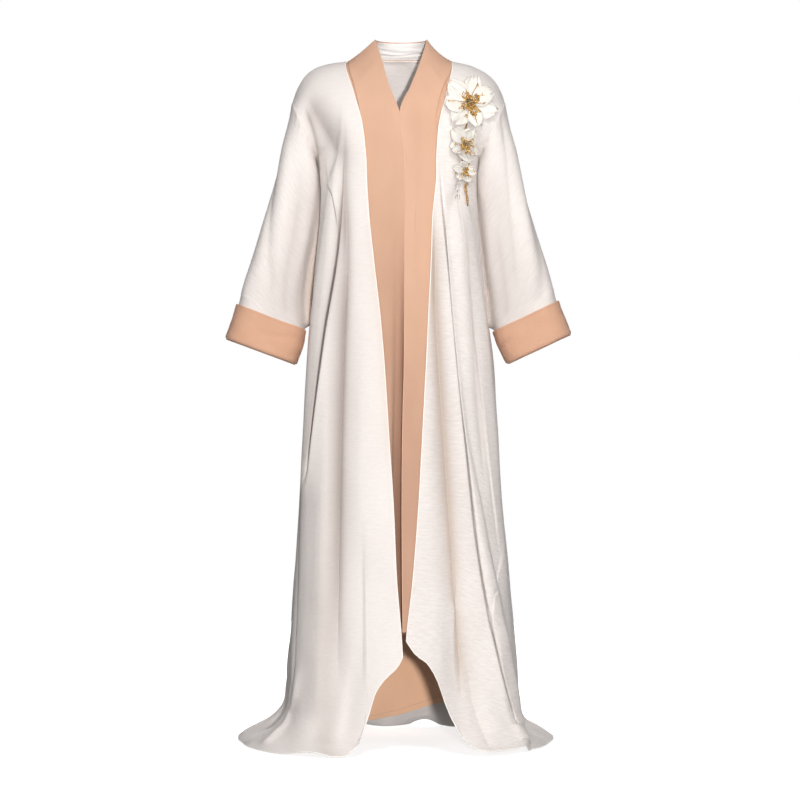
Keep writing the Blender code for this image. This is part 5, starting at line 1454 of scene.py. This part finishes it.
def fine_sleeve(side):
    """The fine points of a sleeve, and where each lies on the cloth."""
    sign = SIDES[side]["sign"]
    places = np.linspace(0, LAST_RING - SLEEVE_SHORT, FINE_SLEEVE[1] + 1)
    points = sleeve_points(side, places, FINE_SLEEVE[0])
    angles = np.arange(FINE_SLEEVE[0]) / FINE_SLEEVE[0] * 360
    height, shade = sleeve_folds(side, places, angles)
    cloth = sleeve_cloth(points)
    u, v = cloth[..., 0], cloth[..., 1]
    round_it = u / u[:, -1:] * u[0, -1]
    slant = v + SLEEVE_SLANT * sign * round_it
    height += SLEEVE_SWELL * ripples(round_it, v, SEEDS["sleeve"], *SLEEVE_LENGTHS)
    height += SLEEVE_CRINKLE * CRINKLE * ripples(round_it, slant, SEEDS["sleeve_crinkle"],
                                                 *SLEEVE_CRINKLE_LENGTHS)
    down = places[:, None]
    calm = ease(down / CALM_RINGS[0]) * ease((CUFF_TOP_ROW - down) / CALM_RINGS[1])
    turn = np.radians(angles)
    gather = GATHER * np.sin(turn * GATHERS + UNEVEN * np.sin(turn * UNEVEN_TURNS))
    pucker = gather[None, :] * bell(down, 0, GATHER_REACH)
    height = height * calm + pucker + squared(angles) * ease(down / SQUARE_GROWS)
    inner = bell(turned(angles - FILL_ANGLE), 0, FILL_WIDTH)[None, :]
    filled = ease(down / FILL_TOP) * ease((CUFF_TOP_ROW - FILL_END - down) / FILL_FADE)
    height += FILL * inner * filled
    # Painted shade in the folds, and more towards the cuff.
    shade = np.clip(shade, 0, SLEEVE_DARKEST) * calm
    shade += SLEEVE_LOWER_SHADE * above(down, *SLEEVE_LOWER_FROM)
    # Painted shade: the half of its front that faces the body is darker, as if it got less light.
    normal, z = tube_normals(points), points[..., 2]
    inward = below(sign * normal[..., 0], *INWARD) * np.clip(-normal[..., 1], 0, 1)
    shade += SLEEVE_INNER_SHADE * inward * below(z, *INNER_FROM) * above(z, *INNER_UNTIL)
    # The band where the sleeve's back reaches towards the body gets painted warm shade, as if lit by light
    # bounced off the peach.
    return points + normal * height[..., None], toned(cloth, FILL_BOUNCE_SHADE * inner * filled, shade)


def fine_cuff(side):
    """The fine points of a turned-back cuff, and where each lies on the cloth."""
    points = cuff_points(side, FINE_CUFF)
    cloth = sleeve_cloth(points)
    u, v = cloth[..., 0], cloth[..., 1]
    height = CUFF_SWELL * ripples(u, v, SEEDS["cuff"] + len(side), *CUFF_LENGTHS)
    for middle, level, slope, deep, wide, long in CUFF_DENTS[side]:
        dent = bell(v - level - slope * (u - middle), 0, wide)
        height += deep * dent * bell(u, middle, long)
    height += squared(np.arange(points.shape[1]) / points.shape[1] * 360)
    return points + tube_normals(cuff_base(side, points)) * height[..., None], cloth


def cuff_base(side, points):
    """Evenly spaced rings along the cuff, whose normals all point out of the sleeve."""
    return sleeve_points(side, np.linspace(CUFF_TOP_ROW, LAST_RING, len(points)), points.shape[1])


# ------------------------------------------------------------------ rolled edges, stitches, beads
def frames_along(path):
    """Two unit vectors across a path at each of its points, turning as little as they can."""
    tangent = np.gradient(path, axis=0)
    tangent /= np.linalg.norm(tangent, axis=1, keepdims=True)
    side = np.cross(tangent[0], (0.3, 0.1, 1.0))
    first = []
    for t in tangent:
        side = side - t * (side @ t)
        side = side / np.linalg.norm(side)
        first.append(side)
    first = np.array(first)
    return first, np.cross(tangent, first)


def tube_grid(path, radius, sides):
    """Rings round a path. The radius may change along it."""
    first, second = frames_along(path)
    angles = np.arange(sides) / sides * 2 * math.pi
    radius = np.broadcast_to(radius, len(path))[:, None, None]
    cosine, sine = np.cos(angles)[None, :, None], np.sin(angles)[None, :, None]
    return path[:, None] + radius * (cosine * first[:, None] + sine * second[:, None])


def walk(path, spacing):
    """Points every spacing along a path, with the direction there."""
    run = np.concatenate([[0], np.cumsum(np.linalg.norm(np.diff(path, axis=0), axis=1))])
    at = np.arange(spacing / 2, run[-1], spacing)
    points, further = (np.stack([np.interp(place, run, path[:, k]) for k in range(3)], axis=-1)
                       for place in (at, at + spacing / 4))
    way = further - points
    return points, way / np.maximum(np.linalg.norm(way, axis=1, keepdims=True), 1e-9)


def linked(name, data):
    """An object with the data, in the scene."""
    obj = bpy.data.objects.new(name, data)
    bpy.context.scene.collection.objects.link(obj)
    return obj


def piece(name, vertices, faces, material):
    """A visible piece on the garment's one body."""
    mesh = bpy.data.meshes.new(name)
    mesh.from_pydata(vertices, [], faces)
    mesh.shade_smooth()
    mesh.materials.append(material)
    obj = linked(name, mesh)
    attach(obj, "root")
    return obj


def joined(name, parts, material):
    """One piece from many small meshes, each given as vertices and faces."""
    vertices, faces = [], []
    for points, polygons in parts:
        start = len(vertices)
        vertices.extend(map(tuple, points))
        faces.extend(tuple(start + i for i in polygon) for polygon in polygons)
    return piece(name, vertices, faces, material)


def capsule(middle, way, length, radius, sides=6):
    """A stitch: a short thread with pinched ends."""
    pinch = np.array([0.25, 0.85, 1.0, 0.85, 0.25])
    last = len(pinch) - 1
    path = middle + np.linspace(-0.5, 0.5, len(pinch))[:, None] * length * way
    rings = tube_grid(path, radius * pinch, sides)
    faces = [(r * sides + c, r * sides + (c + 1) % sides, (r + 1) * sides + (c + 1) % sides,
              (r + 1) * sides + c) for r in range(last) for c in range(sides)]
    faces += [tuple(range(sides))[::-1], tuple(range(last * sides, (last + 1) * sides))]
    return rings.reshape(-1, 3), faces


def stitch_row(path, spacing, length, radius):
    """Stitches along a path, each as vertices and faces."""
    points, ways = walk(path, spacing)
    return [capsule(p, w, length, radius) for p, w in zip(points, ways)]


def ball(radius, detail=2):
    """Vertices and faces of a small round bead at the origin."""
    made = bmesh.new()
    bmesh.ops.create_icosphere(made, subdivisions=detail, radius=radius)
    points = np.array([v.co for v in made.verts])
    faces = [tuple(v.index for v in face.verts) for face in made.faces]
    made.free()
    return points, faces


# ------------------------------------------------------------------ objects
def make_grid(name, points, material, cloth=None, wall=None, wrap=False, replaced=()):
    """One piece from a grid of points, with the cloth's own coordinates on it."""
    down, across = points.shape[:2]
    last = across if wrap else across - 1
    row, column = np.meshgrid(np.arange(down - 1), np.arange(last), indexing="ij")
    after = (column + 1) % across
    faces = np.stack([row * across + column, row * across + after, (row + 1) * across + after,
                      (row + 1) * across + column], axis=-1).reshape(-1, 4)
    obj = piece(name, points.reshape(-1, 3).tolist(), faces.tolist(), material)
    if cloth is not None:
        # Across, down, the painted warm shade, and the painted shade.
        flat = np.zeros((down * across, 4), np.float32)
        flat[:, :cloth.shape[-1]] = cloth.reshape(down * across, -1)
        place = obj.data.attributes.new("cloth", "FLOAT_VECTOR", "POINT")
        place.data.foreach_set("vector", flat[:, :3].ravel())
        shade = obj.data.attributes.new("shade", "FLOAT", "POINT")
        shade.data.foreach_set("value", flat[:, 3].copy())
    if wall:
        solid = obj.modifiers.new("wall", "SOLIDIFY")
        solid.thickness = wall
        solid.offset = 0.0
        obj.modifiers.new("shading", "WEIGHTED_NORMAL")
    if replaced:
        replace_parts(obj, *replaced)
    return obj


def roll(name, path, radius, material, sides=8):
    """A thin roll of cloth or thread along a path."""
    return make_grid(name, tube_grid(path, radius, sides), material, wrap=True)


class Nodes:
    """A material's node tree, with short calls to add to it."""

    def __init__(self, name):
        self.material = bpy.data.materials.new(name)
        self.material.use_nodes = True
        self.tree = self.material.node_tree
        self.shader = self.tree.nodes["Principled BSDF"]

    def add(self, kind, values=(), **settings):
        node = self.tree.nodes.new(kind)
        for key, value in settings.items():
            setattr(node, key, value)
        for key, value in dict(values).items():
            node.inputs[key].default_value = value
        return node

    def put(self, value, socket):
        """Sets a socket to a plain value, or links another node's output to it."""
        if isinstance(value, bpy.types.NodeSocket):
            self.tree.links.new(value, socket)
        else:
            socket.default_value = value

    def attribute(self, name, output):
        return self.add("ShaderNodeAttribute", attribute_name=name).outputs[output]

    def coordinates(self, turn, scale):
        """The cloth's coordinates, turned (degrees) and stretched."""
        place = self.attribute("cloth", "Vector")
        mapping = self.add("ShaderNodeMapping", {"Rotation": (0, 0, math.radians(turn)),
                                                 "Scale": (*scale, 0)})
        self.put(place, mapping.inputs["Vector"])
        return mapping.outputs["Vector"]

    def noise(self, turn, scale, detail=2.0, rough=0.5):
        """Noise over the cloth, with this many turns and waves a metre across and down it."""
        vector = self.coordinates(turn, scale)
        node = self.add("ShaderNodeTexNoise", {"Scale": 1.0, "Detail": detail, "Roughness": rough})
        self.put(vector, node.inputs["Vector"])
        return node.outputs["Fac"]

    def wave(self, turn, scale, distortion):
        """The even ribs of a twill."""
        vector = self.coordinates(turn, scale)
        node = self.add("ShaderNodeTexWave", {"Scale": 1 / math.pi * 0.5, "Distortion": distortion,
                                              "Detail": 1.0})
        self.put(vector, node.inputs["Vector"])
        return node.outputs["Fac"]

    def math(self, operation, first, second):
        node = self.add("ShaderNodeMath", operation=operation)
        for socket, value in zip(node.inputs, (first, second)):
            self.put(value, socket)
        return node.outputs["Value"]

    def mix(self, factor, first, second):
        """A colour between two colours."""
        node = self.add("ShaderNodeMix", data_type="RGBA")
        self.put(factor, node.inputs["Factor"])
        for key, value in (("A", first), ("B", second)):
            self.put(value, [s for s in node.inputs if s.name == key and s.type == "RGBA"][0])
        return [s for s in node.outputs if s.type == "RGBA"][0]

    def ramp(self, value, low, high):
        node = self.add("ShaderNodeMapRange", {"From Min": low, "From Max": high})
        self.put(value, node.inputs["Value"])
        return node.outputs["Result"]

    def shares(self, *parts):
        """The sum of noises, each ramped from a low level to one as far from 1, times its share."""
        total = None
        for value, low, share in parts:
            part = self.math("MULTIPLY", self.ramp(value, low, 1 - low), share)
            total = self.math("ADD", total, part) if total else part
        return total

    def shaded(self, colour, dark):
        """A colour with painted shade: mixed towards the dark colour by the shade attribute, in creases
        and recesses.
        """
        return self.mix(self.attribute("shade", "Fac"), colour, dark)

    def bumps(self, *layers):
        """Normals of several heights, each given with its distance in metres."""
        normal = None
        for height, distance in layers:
            node = self.add("ShaderNodeBump", {"Distance": distance, "Strength": 1.0})
            self.put(height, node.inputs["Height"])
            if normal:
                self.put(normal, node.inputs["Normal"])
            normal = node.outputs["Normal"]
        return normal

    def surface(self, values):
        """Gives the surface its values, by the names of the shader's inputs."""
        for name, value in values.items():
            self.put(value, self.shader.inputs[name])
        return self.material


def matt(colour, normal, roughness, sheen, fuzz):
    """The values of a matt cloth's surface."""
    return {"Base Color": colour, "Normal": normal, "Roughness": roughness,
            "Specular IOR Level": 0.25, "Sheen Weight": sheen, "Sheen Roughness": fuzz}


def crepe_material(name, slant, strokes, light=(236, 229, 225), dark=(219, 211, 206),
                   peach_bounce_shade=(214, 194, 176), crease=(120, 101, 92)):
    """Slubbed crepe-linen: grain and thread noise, with short slubs and crinkles that slant. The third
    cloth coordinate mixes in a painted warm shade, and the shade attribute a painted shade towards the
    crease colour.
    """
    n = Nodes(name)
    weft, warp = n.noise(0, (60, 1500), 3.0), n.noise(0, (1500, 60), 3.0)
    grain = n.noise(0, (480, 330), 3.0, 0.7)
    slub = n.noise(slant, (48, 230), 2.0, 0.6)
    crinkle = n.noise(slant, (75, 240), 2.0, 0.55)
    cloud = n.noise(0, (9, 5), 2.0)
    threads = n.math("ADD", n.math("MULTIPLY", weft, 0.6), n.math("MULTIPLY", warp, 0.4))
    slubby = 0.50 * strokes
    tone = n.shares((slub, 0.35, slubby), (cloud, 0.3, 0.25), (threads, 0.35, 0.15),
                    (grain, 0.3, 0.60 - slubby))
    place = n.attribute("cloth", "Vector")
    parts = n.add("ShaderNodeSeparateXYZ")
    n.put(place, parts.inputs["Vector"])
    plain = n.mix(tone, linear(*dark), linear(*light))
    colour = n.shaded(n.mix(parts.outputs["Z"], plain, linear(*peach_bounce_shade)), linear(*crease))
    normal = n.bumps((threads, 0.00026), (grain, 0.00036), (slub, 0.00034 * strokes),
                     (crinkle, 0.00120 * strokes))
    return n.surface(matt(colour, normal, 0.82, 0.12, 0.45))


def twill_material(name, light, dark, crease=(84, 40, 22)):
    """Smooth matt cloth with a fine diagonal twill. The shade attribute mixes in painted shade towards the
    crease colour.
    """
    n = Nodes(name)
    twill = n.wave(38, (5200, 900), 1.5)
    thread = n.noise(0, (1300, 260), 3.0)
    cloud = n.noise(0, (16, 7), 3.0)
    tone = n.shares((cloud, 0.3, 0.6), (thread, 0.3, 0.4))
    colour = n.shaded(n.mix(tone, linear(*dark), linear(*light)), linear(*crease))
    normal = n.bumps((twill, 0.00012), (thread, 0.00022), (cloud, 0.00100))
    return n.surface(matt(colour, normal, 0.78, 0.10, 0.40))


def petal_material(name, light, dark):
    """Fine petal cloth with veins that run out to its edge."""
    n = Nodes(name)
    vein = n.noise(0, (900, 45), 3.0)
    colour = n.mix(n.ramp(vein, 0.3, 0.7), linear(*dark), linear(*light))
    return n.surface({"Base Color": colour, "Normal": n.bumps((vein, 0.0006)), "Roughness": 0.55,
                      "Sheen Weight": 0.20})


def plain_material(name, light, dark, roughness=0.7, metallic=0.0, scale=900, glow=0.0):
    """Thread, metal or floor, with a little unevenness in its colour."""
    n = Nodes(name)
    place = n.add("ShaderNodeTexCoord")
    node = n.add("ShaderNodeTexNoise", {"Scale": scale, "Detail": 2.0})
    n.put(place.outputs["Object"], node.inputs["Vector"])
    colour = n.mix(n.ramp(node.outputs["Fac"], 0.3, 0.7), linear(*dark), linear(*light))
    return n.surface({"Base Color": colour, "Roughness": roughness, "Metallic": metallic,
                      "Emission Color": (1, 1, 1, 1), "Emission Strength": glow})


def linear(red, green, blue):
    """A colour given as it looks, 0 to 255, as the shader's linear values."""
    values = [((v / 255 + 0.055) / 1.055)**2.4 if v > 10 else v / 3295 for v in (red, green, blue)]
    return (*values, 1.0)


ivory = dict(right=crepe_material("ivory_crepe_right", 20, 0.4),
             left=crepe_material("ivory_crepe_left", -24, 1.0))
ivory_sleeve = crepe_material("ivory_crepe_sleeve", -20, 0.7)
ivory_plain = crepe_material("ivory_crepe_plain", 0, 0.4)
# A paler copy of the ivory crepe: painted light on the facing inside the neck.
ivory_facing_painted_light = crepe_material("ivory_facing_painted_light", 0, 0.2, (255, 252, 249), (250, 244, 240))
# A paler, stronger copy of the peach twill: painted light on the inner back inside the garment.
peach_inside_painted_light = twill_material("peach_inside_painted_light", (255, 206, 170), (250, 198, 160))
peach = twill_material("peach_twill", (224, 181, 154), (214, 170, 142))
peach_cuff = twill_material("peach_cuff_twill", (216, 170, 142), (205, 158, 130))
petal_cloth = petal_material("petal_cloth", (240, 237, 231), (222, 215, 205))
# Paler than the ivory crepe: a painted highlight along the rolled edges and hems and the neck's roll.
edge_painted_highlight = plain_material("edge_roll", (252, 247, 240), (244, 238, 230))
# Paler than the peach twill: a painted highlight along the lapped edge.
peach_edge_painted_highlight = plain_material("peach_edge_painted_highlight", (232, 190, 162), (224, 180, 152))
cuff_thread = plain_material("cuff_thread", (190, 142, 112), (160, 112, 84))
seam_cloth = plain_material("seam_cloth", (240, 232, 226), (226, 216, 209), 0.8)
stitch_thread = plain_material("stitch_thread", (206, 150, 118), (180, 126, 96))
gold = plain_material("gold_beads", (226, 188, 116), (172, 128, 58), 0.26, 0.85, 400)
silver = plain_material("silver_beads", (226, 224, 220), (150, 148, 146), 0.2, 0.9, 400)
crystal = plain_material("grey_crystals", (120, 118, 118), (60, 58, 58), 0.08, 0.6, 400)

# ------------------------------------------------------------------ the garment
def add_front(side):
    """An outer front with its rolled free edge and hem, and the ridges along its seams."""
    points, cloth = fine_front(side)
    front = make_grid("abaya_front_" + side, points, ivory[side], cloth, IVORY_WALL,
                      replaced=["front_" + side])
    edge = np.concatenate([points[:, 0], points[-1, 1:]])
    edge[:, 2] = np.maximum(edge[:, 2], EDGE_ROLL - CARRY_HEIGHT)
    roll("edge_roll_" + side, edge, EDGE_ROLL, edge_painted_highlight)
    for name, path in (("shoulder", points[0]), ("side", points[:-1, -1])):
        roll("%s_seam_%s" % (name, side), path[::2], SEAM_ROLL, seam_cloth, 6)
    return points


def add_sleeve(side):
    """A sleeve, and the ridge along its armhole."""
    points, cloth = fine_sleeve(side)
    sleeve = make_grid("abaya_sleeve_" + side, points, ivory_sleeve, cloth, IVORY_WALL, wrap=True,
                       replaced=["sleeve_" + side])
    seam = np.concatenate([points[0], points[0, :1]])
    roll("armhole_seam_" + side, seam, SEAM_ROLL, seam_cloth)


def add_cuff(side):
    """A turned-back cuff with a row of stitches at both of its edges, and its seam."""
    points, cloth = fine_cuff(side)
    cuff = make_grid("abaya_cuff_" + side, points, peach_cuff, cloth, PEACH_WALL, wrap=True,
                     replaced=["cuff_" + side])
    surface = points + tube_normals(points) * (PEACH_WALL / 2 + CUFF_STITCH_RISE)
    rings = surface[list(CUFF_STITCH)]
    rings = np.concatenate([rings, rings[:, :1]], axis=1)
    stitches = [stitch for path in rings for stitch in stitch_row(path, *CUFF_STITCHING)]
    joined("cuff_stitches_" + side, stitches, cuff_thread)
    roll("cuff_seam_" + side, surface[:, CUFF_SEAM], THIN_ROLL, cuff_thread, 6)


def add_inner_front(side, cover):
    """An inner front with the stitches along its hem, and the left one's rolled edge."""
    points, cloth = fine_inner_front(side, cover)
    inner = make_grid("abaya_inner_front_" + side, points, peach, cloth, PEACH_WALL,
                      replaced=["inner_front_" + side])
    surface = points - outward(points) * -(PEACH_WALL / 2 + HEM_STITCH_RISE)
    hem = surface[HEM_STITCH_ROW, :HEM_STITCH_COLUMNS]
    joined("strip_stitches_" + side, stitch_row(hem, *HEM_STITCH, THREAD), stitch_thread)
    if side == "left":
        lap = points[points[:, 0, 2] < LAP_TOP, 0]
        roll("edge_roll_lap", lap, LAP_ROLL, peach_edge_painted_highlight)


def add_under_collar(side):
    """An under-collar. The left one goes on a little further down."""
    points = under_collar_points(side, FINE_UNDER_COLLAR)
    if side == "left":
        longer = np.arange(1, UNDER_EXTRA + 1)[:, None, None] * (points[-1] - points[-2])
        points = np.concatenate([points, points[-1] + longer])
    collar = make_grid("abaya_under_collar_" + side, points, peach, on_cloth(points), PEACH_WALL,
                       replaced=["under_collar_" + side])


def add_back():
    """The back with its rolled hem, and the inner back with the stitches along its own."""
    points, cloth = fine_back()
    back = make_grid("abaya_back", points, ivory_plain, cloth, IVORY_WALL,
                     replaced=["back"])
    hem = points[-1] + (0, 0, EDGE_ROLL / 4)
    roll("edge_roll_back", hem, EDGE_ROLL, edge_painted_highlight)
    points, cloth = fine_inner_back()
    inner_back = make_grid("abaya_inner_back", points, peach_inside_painted_light, cloth, PEACH_WALL,
                           replaced=["inner_back"])
    hem = points[-2] - outward(points)[-2] * INNER_STITCH_RISE
    joined("inner_hem_stitches", stitch_row(hem, *HEM_STITCH, INNER_THREAD), stitch_thread)


def add_collar():
    """The stand and its facing, and the seam and the piping between facing and back."""
    points, cloth = fine_collar(0.0, 0.0, 1.0, 0.0)
    collar_back = make_grid("abaya_collar_back", points, peach, cloth, PEACH_WALL,
                            replaced=["collar_back"])
    points, cloth = fine_collar(FACING_INSET, *FACING_ENDS, FACING_WRINKLES)
    facing = make_grid("abaya_collar_facing", points, ivory_facing_painted_light, cloth, PEACH_WALL,
                       replaced=["collar_facing"])
    lower = points[-1] + (0, 0, -NECK_SEAM_DROP)
    roll("neck_seam_line", lower, THIN_ROLL, stitch_thread)
    lower = lower + (0, 0, -NECK_ROLL_DROP)
    roll("neck_seam_roll", lower, NECK_ROLL, edge_painted_highlight)


fronts = {}
for side in SIDES:
    fronts[side] = add_front(side)
    add_sleeve(side)
    add_cuff(side)
    add_inner_front(side, fronts[side])
    add_under_collar(side)
add_back()
add_collar()


def petal_waves(kinds, over, down, petal):
    """The sum of several waves across a petal, each row of kinds giving one."""
    return sum(height * np.sin(over * fast + down * along + petal * differ)
               for height, fast, along, differ in kinds)


def add_petal(name, blossom, petal):
    """One petal with a ruffled rim, pleats from its foot, and an uneven tip."""
    points = petal_points(finder, blossom, petal, FINE_PETAL)
    down, over = np.meshgrid(steps_to_one(FINE_PETAL[1]),
                             np.linspace(-1, 1, FINE_PETAL[0] + 1), indexing="ij")
    rim = np.maximum(down**2.5, np.abs(over)**3 * down)
    ruffles = petal_waves(RUFFLES, over, down, petal)
    pleats = petal_waves(PLEATS, over, down, petal) * down * (1 - down)
    height = blossom["width"] * (PETAL_RUFFLE * ruffles * rim + PETAL_PLEAT * pleats)
    away = normals(points) * -np.sign(normals(points)[..., 1:2])
    tip = points[-1] - points[-4]
    notch = PETAL_NOTCH * petal_waves(NOTCHES, over[0], 0.0, petal)
    points = points + away * height[..., None]
    points += (down**3)[..., None] * (notch[:, None] * tip)[None]
    cloth = np.stack([over * blossom["width"] / 2, down * blossom["length"]], axis=-1)
    leaf = make_grid("cloth_" + name, points, petal_cloth, cloth, PETAL_WALL,
                     replaced=[name])


def beads_at(rng, places, radius, height, long_share=0.0):
    """Small beads over the front at the given x and z, each a little different in size. Some of
    them are long ones that lie any way round."""
    x, z = np.array(places).T
    ground, facing = finder.at(x, z)
    made = []
    for point, normal in zip(ground, facing):
        if rng.random() < long_share:
            way = np.cross(normal, rng.normal(size=3))
            middle = point + normal * (height + rng.uniform(*LONG_RISE) * radius)
            made.append(capsule(middle, way / np.linalg.norm(way), radius * LONG_LENGTH,
                                radius * LONG_WIDTH))
            continue
        size = radius * rng.uniform(*BEAD_SIZES)
        shape, faces = ball(size)
        shape = shape * rng.uniform(*BEAD_SQUASH, 3)
        made.append((shape + point + normal * (height + rng.uniform(*BEAD_RISE) * radius), faces))
    return made


def cluster(rng, x, z, count, reach, squeeze=1.0):
    """Places round a middle, thinning out towards the edge of the cluster."""
    turn, far = rng.uniform(0, 2 * math.pi, count), reach * np.sqrt(rng.uniform(0.05, 1, count))
    return list(zip(x + far * np.sin(turn) * squeeze, z + far * np.cos(turn)))


def strand(rng, start, end, gap, sway):
    """Places of beads threaded in a line from start to end, which sways a little."""
    (x0, z0), (x1, z1) = start, end
    count = max(2, int(math.hypot(x1 - x0, z1 - z0) / gap))
    t = np.linspace(0, 1, count)
    x = x0 + (x1 - x0) * t + sway * np.sin(t * 7 + rng.uniform(0, 6))
    return list(zip(x, z0 + (z1 - z0) * t))


def add_cluster(rng, name, ring, turn):
    """The gold beads in a blossom's middle, with trails out of it, and grey crystals among them."""
    data = BEADING[name]
    x, z, height = data["x"], data["z"] + data["length"] / 2, data["height"]
    reach, size = ring["reach"], ring["size"]
    parts = []
    for share, shift_x, shift_z, wide in CLUSTER_LOBES:
        places = cluster(rng, x + shift_x * reach, z + shift_z * reach, int(share * ring["count"]),
                         wide * reach, CLUSTER_SQUEEZE)
        parts += beads_at(rng, places, size, height, MANY_LONG)
    for trail in range(ring["trails"]):
        angle = math.radians(turn + trail * 360 / ring["trails"])
        far = reach * rng.uniform(*TRAIL_REACH)
        end = (x + far * math.sin(angle), z + far * math.cos(angle))
        line = strand(rng, (x, z), end, size * TRAIL_GAP, TRAIL_SWAY)
        line += cluster(rng, *line[-1], *TRAIL_END)
        parts += beads_at(rng, line, size * TRAIL_SIZE, height, FEW_LONG)
    made = joined("gold_" + name, parts, gold)
    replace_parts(made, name)
    if ring["grey"]:
        middle = cluster(rng, x, z, ring["grey"], reach * GREY_REACH)
        greys = beads_at(rng, middle, size * GREY_SIZE, height + CRYSTAL_RISE)
        joined("grey_" + name, greys, crystal)


def add_stem(rng):
    """Three strands down the stem, and two from each blossom to the next and to the stem."""
    data = BEADING["bead_stem"]
    x, z, length, height = data["x"], data["z"], data["length"], data["height"]
    lean = math.radians(data["turn"])
    gap, sway, size = STEM_STRAND
    parts = []
    for shift in STEM_STRANDS:
        end = (x + shift + length * math.sin(lean), z + length * math.cos(lean))
        line = strand(rng, (x + shift, z), end, gap, sway)
        parts += beads_at(rng, line, size, height, MANY_LONG)
    joints = [(BEADING[name]["x"], BEADING[name]["z"]) for name in CLUSTERS] + [(x, z + length)]
    for start, end in zip(joints, joints[1:]):
        for sway in LINK_SWAYS:
            line = strand(rng, start, end, LINK_GAP, sway)
            parts += beads_at(rng, line, LINK_BEAD, height, FEW_LONG)
    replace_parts(joined("gold_bead_stem", parts, gold), "bead_stem")


def add_drop():
    """The grey drop at the stem's foot, narrower towards its top."""
    data = BEADING["bead_stem"]
    points, faces = ball(1.0, 3)
    flat = points * (DROP * (1.15 - points[:, 2:]) / 2.15) * (1, 1, 0)
    points = flat + points * DROP * (0, 0, 1.5)
    ground, facing = finder.at(np.array([data["x"]]), np.array([data["z"] - DROP_BELOW]))
    middle = ground[0] + facing[0] * (data["height"] + DROP_RISE)
    joined("stem_drop", [(points + middle, faces)], crystal)


def add_fringe(rng):
    """Four short strings of silver beads."""
    data = BEADING["bead_fringe"]
    top, parts = data["z"] + data["length"], []
    gap, sway, size = FRINGE_STRAND
    for index in range(FRINGE_STRANDS):
        start = data["x"] + (index - (FRINGE_STRANDS - 1) / 2) * data["width"] / FRINGE_STRANDS
        uneven = math.sin(index * 2.1 + 0.8)**2
        drop = data["length"] * (FRINGE_SHORTEST + (1 - FRINGE_SHORTEST) * uneven)
        line = strand(rng, (start + FRINGE_LEAN, top), (start, top - drop), gap, sway)
        parts += beads_at(rng, line, size, data["height"] - FRINGE_SINK)
    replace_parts(joined("silver_bead_fringe", parts, silver), "bead_fringe")


finder = FrontFinder(fronts["left"][:SPRAY_ROWS:2, ::2])
for letter, blossom in zip("abc", each(BLOSSOMS)):
    for petal in range(int(blossom["petals"])):
        add_petal("petal_%s%d" % (letter, petal + 1), blossom, petal)
bead_rng = np.random.default_rng(SEEDS["beads"])
for name, ring, turn in zip(CLUSTERS, BEAD_RINGS, BLOSSOMS["turn"] + TRAIL_TURN):
    add_cluster(bead_rng, name, ring, turn)
add_stem(bead_rng)
add_drop()
add_fringe(bead_rng)


# ------------------------------------------------------------------ floor, lights and camera
def add_floor():
    """A pale round floor, which the camera sees but which doesn't light the cloth."""
    around = np.linspace(0, 2 * math.pi, FLOOR_CORNERS, endpoint=False)
    disc = [(FLOOR_RADIUS * math.cos(a), FLOOR_RADIUS * math.sin(a), -CARRY_HEIGHT) for a in around]
    mesh = bpy.data.meshes.new("floor")
    mesh.from_pydata(disc, [], [tuple(range(FLOOR_CORNERS))])
    mesh.materials.append(plain_material("pale_floor", *FLOOR_COLOURS, 0.9, scale=3,
                                         glow=FLOOR_GLOW))
    floor = linked("floor", mesh)
    floor.visible_diffuse = False


def area_light(name, place, aim, size, power, colour):
    light = bpy.data.lights.new(name, "AREA")
    light.shape = "RECTANGLE"
    light.size, light.size_y = size
    light.energy = power
    light.color = colour
    obj = linked(name, light)
    obj.location = place
    obj.rotation_euler = (Vector(aim) - Vector(place)).to_track_quat("-Z", "Y").to_euler()


def add_world():
    """A white backdrop for the camera, and a weak even light from all round for everything else."""
    world = bpy.data.worlds.new("studio")
    bpy.context.scene.world = world
    world.use_nodes = True
    nodes, links = world.node_tree.nodes, world.node_tree.links
    nodes.clear()
    output = nodes.new("ShaderNodeOutputWorld")
    blend = nodes.new("ShaderNodeMixShader")
    path = nodes.new("ShaderNodeLightPath")
    links.new(path.outputs["Is Camera Ray"], blend.inputs["Fac"])
    for socket, strength in zip(list(blend.inputs)[1:], (AMBIENT, BACKDROP)):
        light = nodes.new("ShaderNodeBackground")
        light.inputs["Color"].default_value = (1.0, 1.0, 1.0, 1.0)
        light.inputs["Strength"].default_value = strength
        links.new(light.outputs["Background"], socket)
    links.new(blend.outputs["Shader"], output.inputs["Surface"])


def add_camera():
    data = bpy.data.cameras.new("camera")
    data.sensor_width = SENSOR
    data.lens = SENSOR * CAMERA_FOCAL / PICTURE
    data.clip_end = 100.0
    camera = linked("camera", data)
    camera.location = CAMERA_PLACE
    camera.rotation_euler = (math.pi / 2, 0.0, 0.0)
    bpy.context.scene.camera = camera


add_floor()
for light in LIGHTS:
    area_light(*light)
add_world()
add_camera()
bpy.context.scene.view_settings.view_transform = "Standard"
